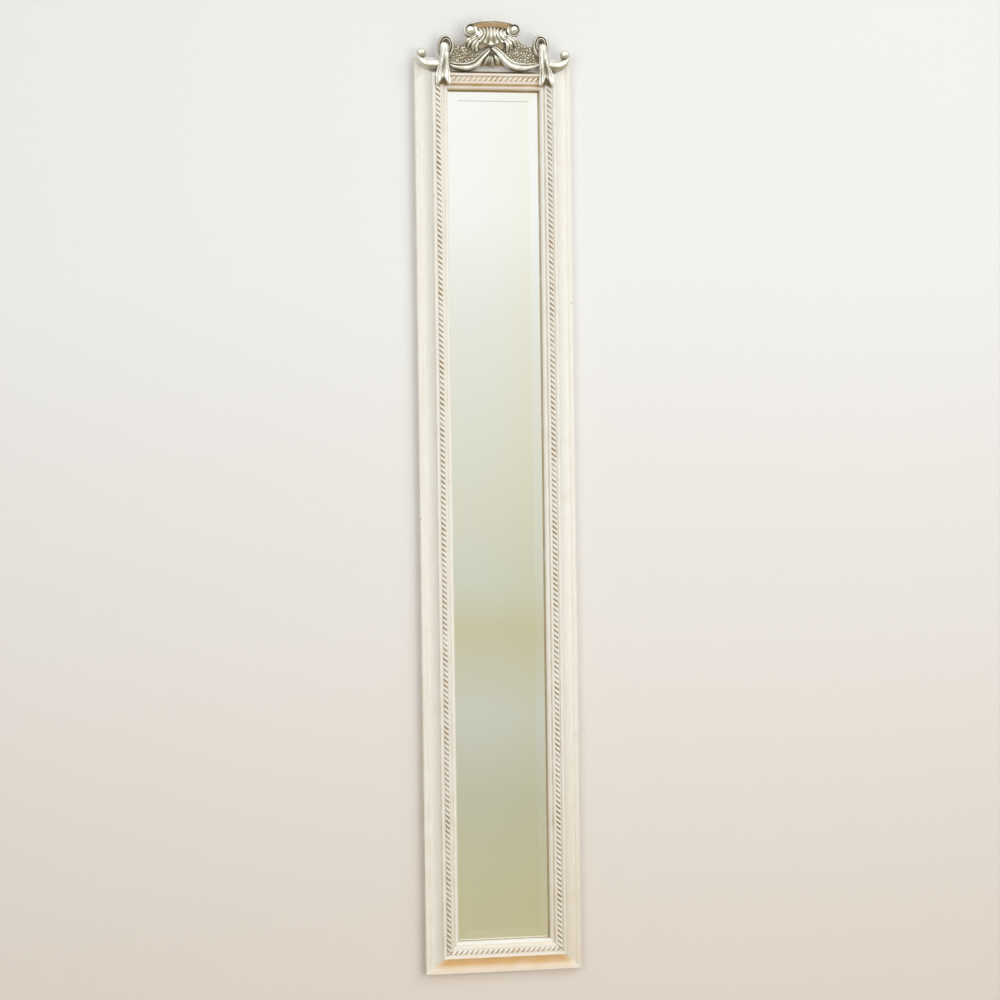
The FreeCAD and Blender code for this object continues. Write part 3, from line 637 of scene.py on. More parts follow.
@dataclass(frozen=True)
class Speckled:
    """A plain stuff whose colour and gloss break up at one size: hardboard, plated or plain steel, rubber."""

    first: str
    second: str
    grain_mm: float
    gloss: tuple[float, float]
    metallic: float = 0.0
    relief_mm: float = 0.05
    bump: float = 0.3

    def material(self, name: str) -> Material:
        """Build the stuff.

        Args:
            name: The material's name.

        Returns:
            The material.
        """
        made, tree, shader = blank_material(name)
        where = put(tree, "ShaderNodeTexCoord").outputs["Object"]
        grain = put(tree, "ShaderNodeTexNoise", {
            "Vector": where, "Scale": 1 / (self.grain_mm * MM), "Detail": 4.0,
        })
        low, high = NOISE_SPAN
        spread = put(tree, "ShaderNodeMapRange", (grain, low, high))
        colour = put(tree, "ShaderNodeMix", {
            0: spread, 6: linear(self.first), 7: linear(self.second),
        }, data_type="RGBA").outputs[2]
        rough = put(tree, "ShaderNodeMapRange", (grain, low, high, *self.gloss))
        bump = put(tree, "ShaderNodeBump", {
            "Height": grain, "Strength": self.bump, "Distance": self.relief_mm * MM,
        })
        feed(tree, shader, {
            "Base Color": colour, "Roughness": rough, "Normal": bump, "Metallic": self.metallic,
        })
        return made


@dataclass
class Moulding:
    """The four mitred members.

    Their section is an outer fillet, a quirk, a cove, a front fillet, a rope channel, a reed, a groove and a
    lip. Values of recess say how much glaze lies at a point; past 1 it turns to a dark tone of painted shade
    and soot.
    """

    edge_h: float = 13.0
    edge_round: float = 2.5
    fillet_w: float = 7.0
    quirk: float = 1.0
    cove_w: float = 16.2
    face_h: float = 26.0
    face_w: float = 4.0
    channel_w: float = 8.3
    channel_h: float = 23.2
    reed_w: float = 3.2
    reed_h: float = 24.0
    groove_w: float = 1.4
    groove_h: float = 20.0
    lip_w: float = 5.4
    lip_top: float = 20.5
    lip_edge: float = 17.0
    rebate_h: float = 11.0
    rebate_w: float = 6.0
    # Glaze on the left stile's outer side, and a painted shadow line beside the glass at the foot, where it
    # meets the rebate.
    outer_recess: float = 0.36
    sight_line: float = 1.7
    # Glaze on the bottom rail, heavy in the down-facing cove as painted shade and warm floor light: on the
    # fillet, in the quirk, in the cove (the least, and where it starts and is full), the width that it
    # covers, and the share left at a mitre with how far in that reaches.
    low_fillet: float = 0.34
    low_quirk: float = 0.55
    low_cove: tuple[float, float, float] = (0.45, 8.8, 13.4)
    low_span: tuple[float, float] = (2.0, 24.4)
    low_mitre: tuple[float, float] = (0.3, 12.0)
    # Painted shadow and soot on the top rail behind the crest: how much, how far out, how soft its end, and
    # over what width.
    soot: float = 1.9
    soot_x: float = 60.0
    soot_edge: float = 6.0
    soot_u: tuple[float, float, float] = (20.0, 20.9, 24.6)
    # Glaze on the top rail: in the groove, beside the rope, as a tint below that is painted shade darkening
    # towards the down-facing lip, and as a wash of painted shadow and stain behind the drop.
    top_line: float = 0.95
    top_fillet: float = 0.8
    top_tint: tuple[float, float] = (0.34, 0.5)
    top_wash: float = 0.95
    wash_u: tuple[float, float] = (14.2, 10.4)
    wash_x: tuple[float, float] = (30.0, 20.0)
    paint: DistressedPaint = DistressedPaint()
    # The right stile takes more of the painted warm floor light low down.
    right_paint: DistressedPaint = DistressedPaint(film=0.4)
    # The bottom rail's orange glaze is painted warm shade in its down-facing cove.
    low_paint: DistressedPaint = DistressedPaint(
        paint="F7F4EA", pale="FCFAF4", glaze="F0CA90", patchy=0.2, film=0.0, gather=0.0
    )
    # The top rail's paint is paler, painted light on its cove below the crest, and its glaze tan, painted
    # shade.
    top_paint: DistressedPaint = DistressedPaint(paint="F8F6F0", pale="FDFCF8", glaze="C9AE80", patchy=0.3)
    # Painted shade on the inner face of each sight edge: dark on the top and right, which are in shadow, pale
    # on the left and bottom.
    sight_recess: dict = field(default_factory=lambda: {
        Member.LEFT: 0.25, Member.RIGHT: 1.35, Member.TOP: 1.3, Member.BOTTOM: 0.05,
    })

    def corner(self, before: tuple, here: tuple, after: tuple, radius: float) -> list[tuple[float, float]]:
        """Round one corner of the section.

        Args:
            before: The point before it.
            here: The corner.
            after: The point after it.
            radius: How far back the round starts.

        Returns:
            Points of the round.
        """
        p, a, b = (np.array(v[:2], float) for v in (here, before, after))
        start = p + (a - p) / np.linalg.norm(a - p) * radius
        end = p + (b - p) / np.linalg.norm(b - p) * radius
        return [
            tuple((1 - f) ** 2 * start + 2 * f * (1 - f) * p + f * f * end)
            for f in np.linspace(0, 1, 5)
        ]

    def section(self) -> np.ndarray:
        """Draw the section from the back of the outer edge over the front to the rebate.

        Returns:
            Rows of width, height, recess and arris.
        """
        cove_u = self.fillet_w + self.quirk
        face_u = cove_u + self.cove_w
        channel_u = face_u + self.face_w
        reed_u = channel_u + self.channel_w
        groove_u = reed_u + self.reed_w
        lip_u = groove_u + self.groove_w
        sight_u = lip_u + self.lip_w
        low = self.edge_h - self.quirk
        rise = self.face_h - low
        cove_r = (self.cove_w**2 + rise**2) / (2 * rise)
        turn = math.asin(self.cove_w / cove_r)
        cove = []
        for f in np.linspace(0, 1, 15)[1:-1]:
            shade = max(0.12 - 2.0 * f, 0.0) + max(f - 0.76, 0.0) * 2.0
            out, up = cove_r * math.sin(turn * f), cove_r * (1 - math.cos(turn * f))
            cove.append((cove_u + out, low + up, 0, shade, 0.1))
        lip = []
        for f in np.linspace(0, 1, 13)[1:-1]:
            chord = self.groove_h + (self.lip_edge - self.groove_h) * f
            bulge = (self.lip_top - (self.groove_h + self.lip_edge) / 2) * math.sin(math.pi * f) ** 0.8
            lip.append((lip_u + self.lip_w * f, chord + bulge, 0, 0.2 * max(0.0, 1 - 5 * f), 0.3))
        outline = [
            (0, 0, 0.6, 0.2, 0.3),
            (0, self.edge_h, self.edge_round, 0.05, 1.0),
            (self.fillet_w - 1.2, self.edge_h, 0, 0.08, 0.4),
            (self.fillet_w, self.edge_h, 0.5, 0.1, 0.8),
            (self.fillet_w, low, 0, 0.15, 0),
            (cove_u, low, 0, 0.15, 0),
            *cove,
            (face_u, self.face_h, 0.8, 0.1, 0.9),
            (channel_u, self.face_h, 0.6, 0.1, 0.8),
            (channel_u, self.channel_h, 0, 0.15, 0),
            (reed_u, self.channel_h, 0, 0.15, 0),
            (reed_u, self.reed_h, 1.3, 0.1, 0.7),
            (groove_u, self.reed_h, 1.3, 0.1, 0.7),
            (groove_u, self.groove_h, 0, 0.2, 0),
            (lip_u, self.groove_h, 0, 0.2, 0),
            *lip,
            (sight_u, self.lip_edge, 0.4, 0.2, 0.6),
            (sight_u, self.rebate_h + 2.2, 0, 1.0, 0),
            (sight_u, self.rebate_h + 1.9, 0, 1.0, 0),
            (sight_u, self.rebate_h, 0, 1.0, 0),
            (sight_u - self.rebate_w, self.rebate_h, 0, 0.3, 0),
            (sight_u - self.rebate_w, 0, 0, 0.2, 0.2),
        ]
        rows: list[tuple] = []
        for i, here in enumerate(outline):
            u, h, radius, recess, arris = here
            if radius:
                spots = self.corner(outline[i - 1], here, outline[(i + 1) % len(outline)], radius)
            else:
                spots = [(u, h)]
            rows += [(*spot, recess, arris) for spot in spots]
        return np.array(rows)

    def low_glaze(self, u: np.ndarray, h: np.ndarray, recess: np.ndarray, end: np.ndarray) -> np.ndarray:
        """Lay the bottom rail's glaze: heavy in the down-facing cove, as painted shade and warm floor light,
        thin in the quirk, on the fillet and at the mitres.

        Args:
            u: Width over the section.
            h: Height over the section.
            recess: The section's own recess.
            end: Distance from the nearer mitre.

        Returns:
            Recess of every point.
        """
        least, foot, full = self.low_cove
        cove = least + (1 - least) * ease(foot, full, u)
        quirk = (np.abs(u - self.fillet_w) < 0.6) & (h < self.edge_h)
        laid = np.where(quirk, self.low_quirk, np.where(u < self.fillet_w + 0.1, self.low_fillet, cove))
        laid = laid * (u > self.low_span[0]) * (u < self.low_span[1]) * (h > 1.0)
        corner, reach = self.low_mitre
        return np.maximum(recess, laid * (corner + (1 - corner) * ease(0.0, reach, end)))

    def top_glaze(self, u: np.ndarray, h: np.ndarray, recess: np.ndarray, out: np.ndarray) -> np.ndarray:
        """Lay the top rail's glaze and painted shade: painted shadow and soot behind the crest, a wash of
        painted shadow and stain behind the drop, a tint of painted shade and lines below.

        Args:
            u: Width over the section.
            h: Height over the section.
            recess: The section's own recess.
            out: Distance from the middle.

        Returns:
            Recess of every point.
        """
        low, high, front = self.soot_u
        side = ease(self.soot_x + self.soot_edge, self.soot_x - self.soot_edge, out)
        # Painted shadow and soot where the crest overhangs the cove.
        soot = self.soot * ease(low, high, u) * (u < front) * side
        groove_u = front + self.face_w + self.channel_w + self.reed_w
        # Painted shade: a tan tint that darkens towards the lip, which faces down.
        tint = self.top_tint[0] + self.top_tint[1] * ease(groove_u + 4.0, groove_u + 6.5, u)
        lines = np.where(np.abs(u - groove_u) < 2.0, self.top_line, tint)
        lines = np.where(np.abs(u - front + 0.4 - self.face_w) < 0.35, self.top_fillet, lines)
        # A wash of painted shadow and stain behind the drop.
        shadow_wash = self.top_wash * ease(*self.wash_u, u) * ease(*self.wash_x, out) * (h > self.edge_h - 2.0)
        return np.maximum(soot, np.maximum(recess, np.where(u > front, lines, shadow_wash)))

    def member(self, side: Member, section: np.ndarray) -> Object:
        """Sweep one member between its mitres.

        Args:
            side: Which member.
            section: Rows from section().

        Returns:
            The piece.
        """
        u, h, recess, arris = section.T
        share = np.linspace(0, 1, 40 if side.upright else 61)[:, None]
        if side.upright:
            sign = -1 if side is Member.LEFT else 1
            x = np.broadcast_to(sign * (HALF_W - u), (len(share), len(u)))
            rise = -FRAME_H + u + share * (FRAME_H - 2 * u)
        else:
            x = -HALF_W + u + share * (FRAME_W - 2 * u)
            rise = np.broadcast_to(-u if side is Member.TOP else -FRAME_H + u, x.shape)
        # The sight edge's inner face takes its member's painted shade.
        inside = (u > u.max() - 0.5) & (h < self.lip_edge - 0.3)
        recess = np.where(inside, self.sight_recess[side], recess)
        if side is Member.LEFT:
            recess = np.where((u < 0.4) & (h < self.edge_h - 1.0), self.outer_recess, recess)
        if side is Member.BOTTOM:
            recess = self.low_glaze(u, h, recess, np.minimum(share, 1 - share) * (FRAME_W - 2 * u))
            # A painted shadow line at the foot, where the glass meets the rebate.
            recess = np.where(inside & (h < self.rebate_h + 2.0), self.sight_line, recess)
        if side is Member.TOP:
            recess = self.top_glaze(u, h, recess, np.abs(x))
        draft = Draft(values={"recess": [], "arris": []})
        draft.loft(points(x, rise, h), recess=recess, arris=arris)
        return draft.piece(f"painted_{side.solid}", crease=50.0)

    def build(self) -> None:
        """Make the four members and paint them."""
        section = self.section()
        paints = {Member.RIGHT: self.right_paint, Member.BOTTOM: self.low_paint, Member.TOP: self.top_paint}
        for side in Member:
            finish = paints.get(side, self.paint).material(f"distressed_paint_{side.value}", side.brush)
            dress(self.member(side, section), finish, side.solid)


@dataclass
class RopeStrips:
    """Half-round rope in the moulding's channel, its strands laid the same way round the frame."""

    diameter: float = 8.0
    pitch: float = 7.4
    # Strands met in one turn round the rope. Only its front half shows, so they need not be whole.
    strands: float = 2.3
    base: float = 1.0
    valley: float = 1.35
    floor_h: float = 21.0
    middle_u: float = 32.35
    right_in: float = 0.8
    steps_per_pitch: int = 8
    # How far up the rope's side its valleys start, how hollow they are where glaze lies, and where it shows.
    valley_from: tuple[float, float] = (0.0, 0.3)
    glaze_from: tuple[float, float] = (0.2, 0.56)
    front_from: tuple[float, float] = (0.05, 0.45)
    paint: DistressedPaint = DistressedPaint(
        paint="F8F5EC", pale="FEFDF8", glaze="8C7036", patchy=0.4, film=0.06, gather=0.0, stroke_mm=1.4
    )
    # The top rope is darker and tanner, painted shade under the crest.
    top_paint: DistressedPaint = DistressedPaint(
        paint="F2E8D8", pale="F9F3E8", glaze="B0935E", gather=0.0, stroke_mm=1.4
    )
    # The bottom rope's paint is paler: painted light.
    low_paint: DistressedPaint = DistressedPaint(
        paint="FCF6EA", pale="FFFFFC", glaze="A98550", patchy=0.3, film=0.0, gather=0.0, stroke_mm=1.4
    )

    def tree(self) -> NodeTree:
        """Build the tree that twists a rod into a strip, mitred at both ends.

        Returns:
            The tree.
        """
        tree, given = blank_tree("rope_strip", {
            "Length": "NodeSocketFloat", "Radius": "NodeSocketFloat", "Pitch": "NodeSocketFloat",
            "Strands": "NodeSocketFloat", "Base": "NodeSocketFloat", "Valley": "NodeSocketFloat",
            "Inward": "NodeSocketFloat", "Segments": "NodeSocketInt", "Finish": "NodeSocketMaterial",
        })
        size = given.outputs
        rod = put(tree, "GeometryNodeMeshCylinder", {
            "Vertices": 20, "Side Segments": size["Segments"], "Radius": 1.0, "Depth": 1.0,
        }, fill_type="NGON")
        place = put(tree, "GeometryNodeInputPosition")
        axis = put(tree, "ShaderNodeSeparateXYZ", (place,)).outputs
        side = put(tree, "ShaderNodeMath", (axis[0], size["Radius"]), operation="MULTIPLY")
        inner = put(tree, "ShaderNodeMath", (side, size["Inward"]), operation="MULTIPLY")
        trim = put(tree, "ShaderNodeMath", (inner, -2.0, size["Length"]), operation="MULTIPLY_ADD")
        along = put(tree, "ShaderNodeMath", (axis[2], trim), operation="MULTIPLY")
        angle = put(tree, "ShaderNodeMath", (axis[0], axis[1]), operation="ARCTAN2")
        turn = put(tree, "ShaderNodeMath", (angle, math.tau), operation="DIVIDE")
        laps = put(tree, "ShaderNodeMath", (along, size["Pitch"]), operation="DIVIDE")
        phase = put(tree, "ShaderNodeMath", (turn, size["Strands"], laps), operation="MULTIPLY_ADD")
        swing = put(tree, "ShaderNodeMath", (phase, math.pi), operation="MULTIPLY")
        wave = put(tree, "ShaderNodeMath", (swing,), operation="COSINE")
        crown = put(tree, "ShaderNodeMath", (wave,), operation="ABSOLUTE")
        hollow = put(tree, "ShaderNodeMath", (1.0, crown), operation="SUBTRACT")
        fade = put(tree, "ShaderNodeMapRange", (axis[1], *self.valley_from))
        dip = put(tree, "ShaderNodeMath", (hollow, fade), operation="MULTIPLY")
        cut = put(tree, "ShaderNodeMath", (dip, size["Valley"]), operation="MULTIPLY")
        reach = put(tree, "ShaderNodeMath", (size["Radius"], cut), operation="SUBTRACT")
        over = put(tree, "ShaderNodeMath", (axis[1], -0.01), operation="GREATER_THAN")
        up = put(tree, "ShaderNodeMath", (reach, axis[1]), operation="MULTIPLY")
        under = put(tree, "ShaderNodeMath", (size["Base"], -1.0), operation="MULTIPLY")
        height = put(tree, "ShaderNodeMix", {0: over, 2: under, 3: up})
        out = put(tree, "ShaderNodeMath", (height, -1.0), operation="MULTIPLY")
        across = put(tree, "ShaderNodeMath", (axis[0], reach), operation="MULTIPLY")
        spot = put(tree, "ShaderNodeCombineXYZ", (across, out, along))
        line = put(tree, "ShaderNodeMapRange", (hollow, *self.glaze_from))
        facing = put(tree, "ShaderNodeMapRange", (axis[1], *self.front_from))
        grime = put(tree, "ShaderNodeMath", (line, facing), operation="MULTIPLY")
        held = put(tree, "GeometryNodeStoreNamedAttribute", {
            "Geometry": rod.outputs["Mesh"], "Name": "recess", "Value": grime,
        }, data_type="FLOAT", domain="POINT")
        shaped = put(tree, "GeometryNodeSetPosition", {"Geometry": held, "Position": spot})
        end_tree(tree, shaped, size["Finish"])
        return tree

    def build(self) -> None:
        """Make the four strips and paint them."""
        tree = self.tree()
        y = -(BACK + self.floor_h + self.base) * MM
        middle = (TOP + BOTTOM) / 2
        reach = HALF_W - self.middle_u
        lie = Euler((0, math.pi / 2, 0)).to_matrix().to_4x4()
        spots = {
            Member.LEFT: (FRAME_H, 1, Matrix.Translation((-reach * MM, y, middle * MM))),
            Member.RIGHT: (FRAME_H, -1, Matrix.Translation(((reach - self.right_in) * MM, y, middle * MM))),
            Member.TOP: (FRAME_W, 1, Matrix.Translation((0, y, (TOP - self.middle_u) * MM)) @ lie),
            Member.BOTTOM: (FRAME_W, -1, Matrix.Translation((0, y, (BOTTOM + self.middle_u) * MM)) @ lie),
        }
        paints = {Member.TOP: self.top_paint, Member.BOTTOM: self.low_paint}
        for side, (full, inward, place) in spots.items():
            length = full - 2 * self.middle_u
            finish = paints.get(side, self.paint).material(f"rope_paint_{side.value}", side.brush)
            host = new_object(f"rope_strip_{side.value}", bpy.data.meshes.new("rod"))
            strip = grown(
                host, tree, length=length * MM, radius=self.diameter / 2 * MM, pitch=self.pitch * MM,
                strands=self.strands, base=self.base * MM, valley=self.valley * MM, inward=float(inward),
                segments=int(length / self.pitch * self.steps_per_pitch), finish=finish,
            )
            strip.data.transform(place)
            strip.data.shade_smooth()
            dress(strip, finish, f"{side.value}_rope")


@dataclass
class Glazing:
    """The bevelled mirror plate."""

    half_w: float = 71.0
    edge_inset: float = 41.5
    back_h: float = 8.25
    front_h: float = 12.25
    bevel_w: float = 20.0
    bevel_drop: float = 1.8
    arris_w: float = 0.5
    glass: SilveredGlass = SilveredGlass()

    def build(self) -> None:
        """Make the plate: a flat field, a thin polished arris, four bevels and a ground edge."""
        slope = self.bevel_drop / self.bevel_w
        levels = [
            (0.0, self.back_h),
            (0.0, self.front_h - self.bevel_drop),
            (self.bevel_w - self.arris_w, self.front_h - slope * self.arris_w),
            (self.bevel_w + self.arris_w, self.front_h),
        ]
        rings = []
        for inset, height in levels:
            half = self.half_w - inset
            low, high = -FRAME_H + self.edge_inset + inset, -self.edge_inset - inset
            rings.append(points([-half, half, half, -half], [low, low, high, high], height))
        draft = Draft()
        draft.loft(np.array(rings))
        plate = draft.piece("bevelled_mirror", crease=1.0)
        dress(plate, self.glass.material("silvered_float_glass"), "mirror_glass")


@dataclass
class Fastenings:
    """What holds the mirror together at the back: wedges, glazing points, screws, hanger and bumpers."""

    steel: Speckled = Speckled("8D8A84", "B3B0A8", 1.6, (0.3, 0.5), metallic=0.9)
    plated: Speckled = Speckled("C2BBA4", "DDD8C6", 2.5, (0.22, 0.36), metallic=0.95)
    hardboard: Speckled = Speckled("6E4D30", "8A6543", 1.2, (0.6, 0.8), relief_mm=0.12)
    rubber: Speckled = Speckled("2B2A29", "3B3936", 0.8, (0.6, 0.8), relief_mm=0.08)
    wedge_leg: float = 6.0
    wedge_t: float = 0.8
    wedge_depth: float = 8.0
    wedge_insets: tuple[float, float] = (9.0, 25.0)
    screw_x: float = 45.0
    screw_drop: float = 9.5
    screw_head: float = 7.0
    screw_turns: tuple[float, float] = (20.0, -35.0)
    slot_half: float = 0.2
    slot_depth: float = 0.55
    proud: float = 0.15

    def tree(self) -> NodeTree:
        """Build the tree that sets one fastening at each point, turned as the point says.

        Returns:
            The tree.
        """
        tree, given = blank_tree("set_fastenings", {
            "Pattern": "NodeSocketObject", "Finish": "NodeSocketMaterial",
        })
        pattern = put(tree, "GeometryNodeObjectInfo", {
            "Object": given.outputs["Pattern"], "As Instance": True,
        })
        turn = put(tree, "GeometryNodeInputNamedAttribute", {"Name": "turn"}, data_type="FLOAT_VECTOR")
        facing = put(tree, "FunctionNodeEulerToRotation", (turn,))
        spots = put(tree, "GeometryNodeMeshToPoints", {"Mesh": given.outputs["Geometry"]})
        placed = put(tree, "GeometryNodeInstanceOnPoints", {
            "Points": spots, "Instance": pattern.outputs["Geometry"], "Rotation": facing,
        })
        end_tree(tree, placed, given.outputs["Finish"])
        return tree

    def scatter(
        self, name: str, pattern: Object, spots: np.ndarray, turns: Sequence[float], finish: Material
    ) -> Object:
        """Set a fastening at each spot.

        Args:
            name: The piece's name.
            pattern: One fastening, at the origin.
            spots: Where they go, in metres.
            turns: Turn about y for each, degrees.
            finish: The material.

        Returns:
            The piece.
        """
        mesh = bpy.data.meshes.new(name)
        mesh.from_pydata(spots.tolist(), [], [])
        layer = mesh.attributes.new("turn", "FLOAT_VECTOR", "POINT")
        for i, turn in enumerate(turns):
            layer.data[i].vector = (0.0, math.radians(turn), 0.0)
        made = grown(new_object(name, mesh), self.tree(), pattern=pattern, finish=finish)
        bpy.data.objects.remove(pattern)
        return made

    def wedge(self) -> Object:
        """Make one angled wedge whose corner is at the origin and whose legs go along +x and -z."""
        leg, thick = self.wedge_leg, self.wedge_t
        x, z = np.array([(0, 0), (leg, 0), (leg, -thick), (thick, -thick), (thick, -leg), (0, -leg)]).T
        rings = [np.stack([x, np.full(len(x), y), z], -1) * MM for y in (self.proud, -self.wedge_depth)]
        draft = Draft()
        draft.loft(np.array(rings))
        return draft.piece("wedge_pattern", crease=30.0)

    def screw(self) -> Object:
        """Make one countersunk head with a driver slot, facing +y at the origin."""
        turn = np.linspace(0, math.tau, 32, endpoint=False)
        slot = np.abs(np.sin(turn)) < self.slot_half
        steps = ((0.45, -2.0), (0.98, -0.1), (1.0, 0.05), (0.94, self.proud), (0.3, self.proud + 0.05))
        rings = []
        for share, depth in steps:
            r = self.screw_head / 2 * share
            y = np.where(slot & (depth > 0), depth - self.slot_depth, depth)
            rings.append(np.stack([r * np.cos(turn), y, r * np.sin(turn)], -1) * MM)
        draft = Draft()
        draft.loft(np.array(rings))
        return draft.piece("screw_pattern", crease=35.0)

    def build(self, nodes: dict[str, Object]) -> None:
        """Set the wedges and screws, and finish the solids that are kept.

        Args:
            nodes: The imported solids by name.
        """
        steel = self.steel.material("drawn_steel")
        corners = ((-1, 0, -1, 0), (1, 0, -1, 90), (1, -FRAME_H, 1, 180), (-1, -FRAME_H, 1, 270))
        spots, turns = [], []
        for x_sign, z_edge, z_sign, turn in corners:
            for inset in self.wedge_insets:
                spots.append(points(x_sign * (HALF_W - inset), z_edge + z_sign * inset, 0.0))
                turns.append(turn)
        wedges = self.scatter("mitre_wedges", self.wedge(), np.array(spots), turns, steel)
        dress(wedges, steel, "corner_wedges")
        heads = points([-self.screw_x, self.screw_x], -self.screw_drop, 0.0)
        screws = self.scatter("crest_screw_heads", self.screw(), heads, self.screw_turns, steel)
        dress(screws, steel, "crest_screws")
        kept = {
            "glazing_points": steel,
            "hanger_screw": steel,
            "hanger_strap": self.plated.material("plated_strap"),
            "hanger_ring": self.plated.material("plated_ring_wire"),
            "backing_board": self.hardboard.material("hardboard_backing"),
            "wall_bumpers": self.rubber.material("moulded_rubber"),
        }
        for name, finish in kept.items():
            nodes[name].data.materials.clear()
            nodes[name].data.materials.append(finish)


@dataclass
class Crest:
    """The carved top.

    On a stippled ground are an arched hood between two volutes, a fluted shell with curled leaves, two swags
    that meet over a drop of leaves, and at each side a bow loop, a ribbon tail and a scroll arm.
    """

    # How far the ornaments are sunk in the ground.
    hood_sunk: float = 0.5
    shell_sunk: float = 0.3
    ribbon_sunk: float = 0.4
    # Rows of x and rise on the ground's outline: its top, right shoulder, neck and foot, and the arch below.
    ground_top: tuple = ((-30.3, 42.8), (0.0, 47.0), (30.3, 42.8))
    ground_shoulder: tuple = ((33.6, 38.0), (34.0, 31.0), (32.6, 27.2))
    ground_neck: tuple = ((36.6, 23.5), (44.0, 16.4), (54.0, 14.4))
    ground_foot: tuple = ((68.0, 17.0), (71.2, 13.8), (68.0, -8.0), (54.0, -15.5), (36.6, -15.5))
    ground_arch: tuple = ((13.0, 0.0), (0.0, 2.0), (-13.0, 0.0))
    ground_bevel: float = 0.8
    hood_x: float = -2.4
    hood_rise: float = 49.6
    hood_r: float = 96.0
    hood_band: float = 8.4
    hood_proud: float = 13.0
    hood_low: float = 4.8
    volute_at: dict = field(default_factory=lambda: {Side.LEFT: (-33.2, 35.4), Side.RIGHT: (28.6, 36.5)})
    volute_proud: float = 7.5
    # Where the hood's rim curls round a volute's ball, in degrees, and for its middle, half width, height and
    # top the size at the start and what it loses by the end.
    rim_turn: tuple[float, float] = (112.0, -165.0)
    rim_taper: tuple = ((8.4, 0.8), (1.4, 0.4), (4.6, 1.2), (11.4, 1.4))
    # Rows of radius and height on the collar under the ball.
    collar: tuple = ((9.4, 3.0), (9.2, 8.0), (5.5, 9.2))
    shell_x: float = -3.5
    # Rows of x and rise down each rib of the shell's right half, and the place of each rib across it.
    shell_ribs: tuple = (
        ((0.0, 41.2), (0.0, 36.0), (0.0, 30.5), (0.0, 25.0), (0.0, 19.5), (0.0, 13.0)),
        ((5.3, 41.0), (5.0, 35.6), (5.4, 30.0), (6.4, 24.6), (8.6, 20.8), (12.2, 18.4)),
        ((10.8, 40.4), (9.2, 35.4), (9.4, 30.0), (11.6, 25.0), (15.6, 21.6), (20.2, 18.2)),
        ((17.0, 39.6), (13.7, 35.0), (13.6, 30.2), (17.8, 25.6), (23.2, 22.2), (27.6, 18.2)),
        ((22.8, 38.4), (20.2, 34.4), (20.8, 30.8), (25.2, 27.0), (29.4, 24.2), (32.6, 20.6)),
        ((25.0, 38.0), (22.6, 34.8), (23.4, 32.0), (27.6, 28.6), (31.4, 26.0), (34.4, 22.8)),
    )
    shell_spread: tuple = (0.0, 0.25, 0.5, 0.75, 1.0, 1.125)
    # Rows of the upper edge's x and rise and the lower edge's x and rise of a scoop.
    scoop_edges: tuple = (
        (2.4, 20.0, 2.4, 15.6), (7.0, 20.8, 6.6, 14.4), (12.0, 20.4, 11.2, 12.2), (16.0, 18.6, 15.0, 10.2),
        (18.4, 15.6, 17.6, 10.6),
    )
    scoop_gild: float = 0.5
    leaf_at: dict = field(default_factory=lambda: {Side.LEFT: (-1.2, 0.6), Side.RIGHT: (-3.6, 1.8)})
    # Rows of x, rise, radius and height along each finger of a curled leaf.
    leaf_fingers: tuple = (
        ((24.5, 27.6, 1.5, 5.2), (29.5, 25.2, 2.5, 5.6), (34.0, 22.4, 2.7, 4.6), (37.3, 18.9, 1.7, 3.2),
         (38.0, 17.2, 0.5, 2.2)),
        ((23.5, 25.2, 1.5, 5.0), (28.6, 21.9, 2.5, 5.8), (32.7, 18.0, 2.7, 5.0), (34.7, 13.8, 1.7, 3.4),
         (34.8, 12.2, 0.5, 2.4)),
        ((21.8, 23.0, 1.4, 4.8), (26.0, 18.5, 2.5, 6.0), (28.3, 13.4, 2.7, 5.4), (27.6, 9.4, 1.7, 3.8),
         (26.8, 8.0, 0.5, 2.6)),
        ((19.6, 20.8, 1.3, 4.6), (22.8, 15.8, 2.3, 5.6), (23.7, 10.8, 2.4, 5.0), (22.4, 6.6, 1.5, 3.4),
         (21.4, 5.2, 0.5, 2.4)),
    )
    # For each leaf of the drop its root's x and rise, its length, half width, lean in degrees and height.
    drop_leaves: tuple = (
        (-5.6, 2.8, 17.0, 3.5, -29.5, 8.4),
        (-4.6, 2.6, 14.6, 2.9, -12.0, 9.0),
        (1.0, 2.8, 16.0, 2.5, 46.0, 6.6),
        (-0.6, 3.4, 16.8, 3.6, 30.5, 8.8),
        (-3.6, 2.6, 19.4, 3.2, 4.5, 10.4),
    )
    # Rows of the upper edge's x and rise, the lower edge's x and rise, and the share of the full height.
    swag_edges: dict = field(default_factory=lambda: {
        Side.LEFT: (
            (6.4, 12.6, 4.4, 6.8, 0.6), (12.6, 8.3, 9.4, 1.1, 0.85), (18.6, 3.5, 13.9, -5.0, 1.0),
            (24.8, -1.6, 18.2, -11.4, 1.0), (30.8, -6.0, 23.6, -17.2, 1.0), (38.0, -9.0, 32.4, -20.4, 1.0),
            (48.0, -9.9, 44.4, -21.2, 0.95), (56.5, -9.9, 56.0, -18.4, 0.85), (64.5, -9.2, 65.0, -12.6, 0.6),
        ),
        Side.RIGHT: (
            (-0.4, 14.8, -4.0, 10.0, 0.75), (7.0, 11.8, 1.3, 4.8, 0.95), (14.5, 5.6, 7.6, -3.2, 1.0),
            (22.0, -1.6, 13.5, -10.2, 1.0), (29.5, -6.2, 20.5, -16.8, 1.0), (38.0, -8.2, 31.0, -20.2, 1.0),
            (48.0, -8.8, 44.0, -20.4, 0.95), (57.0, -8.2, 56.0, -17.4, 0.85), (65.5, -6.9, 66.0, -11.5, 0.6),
        ),
    })
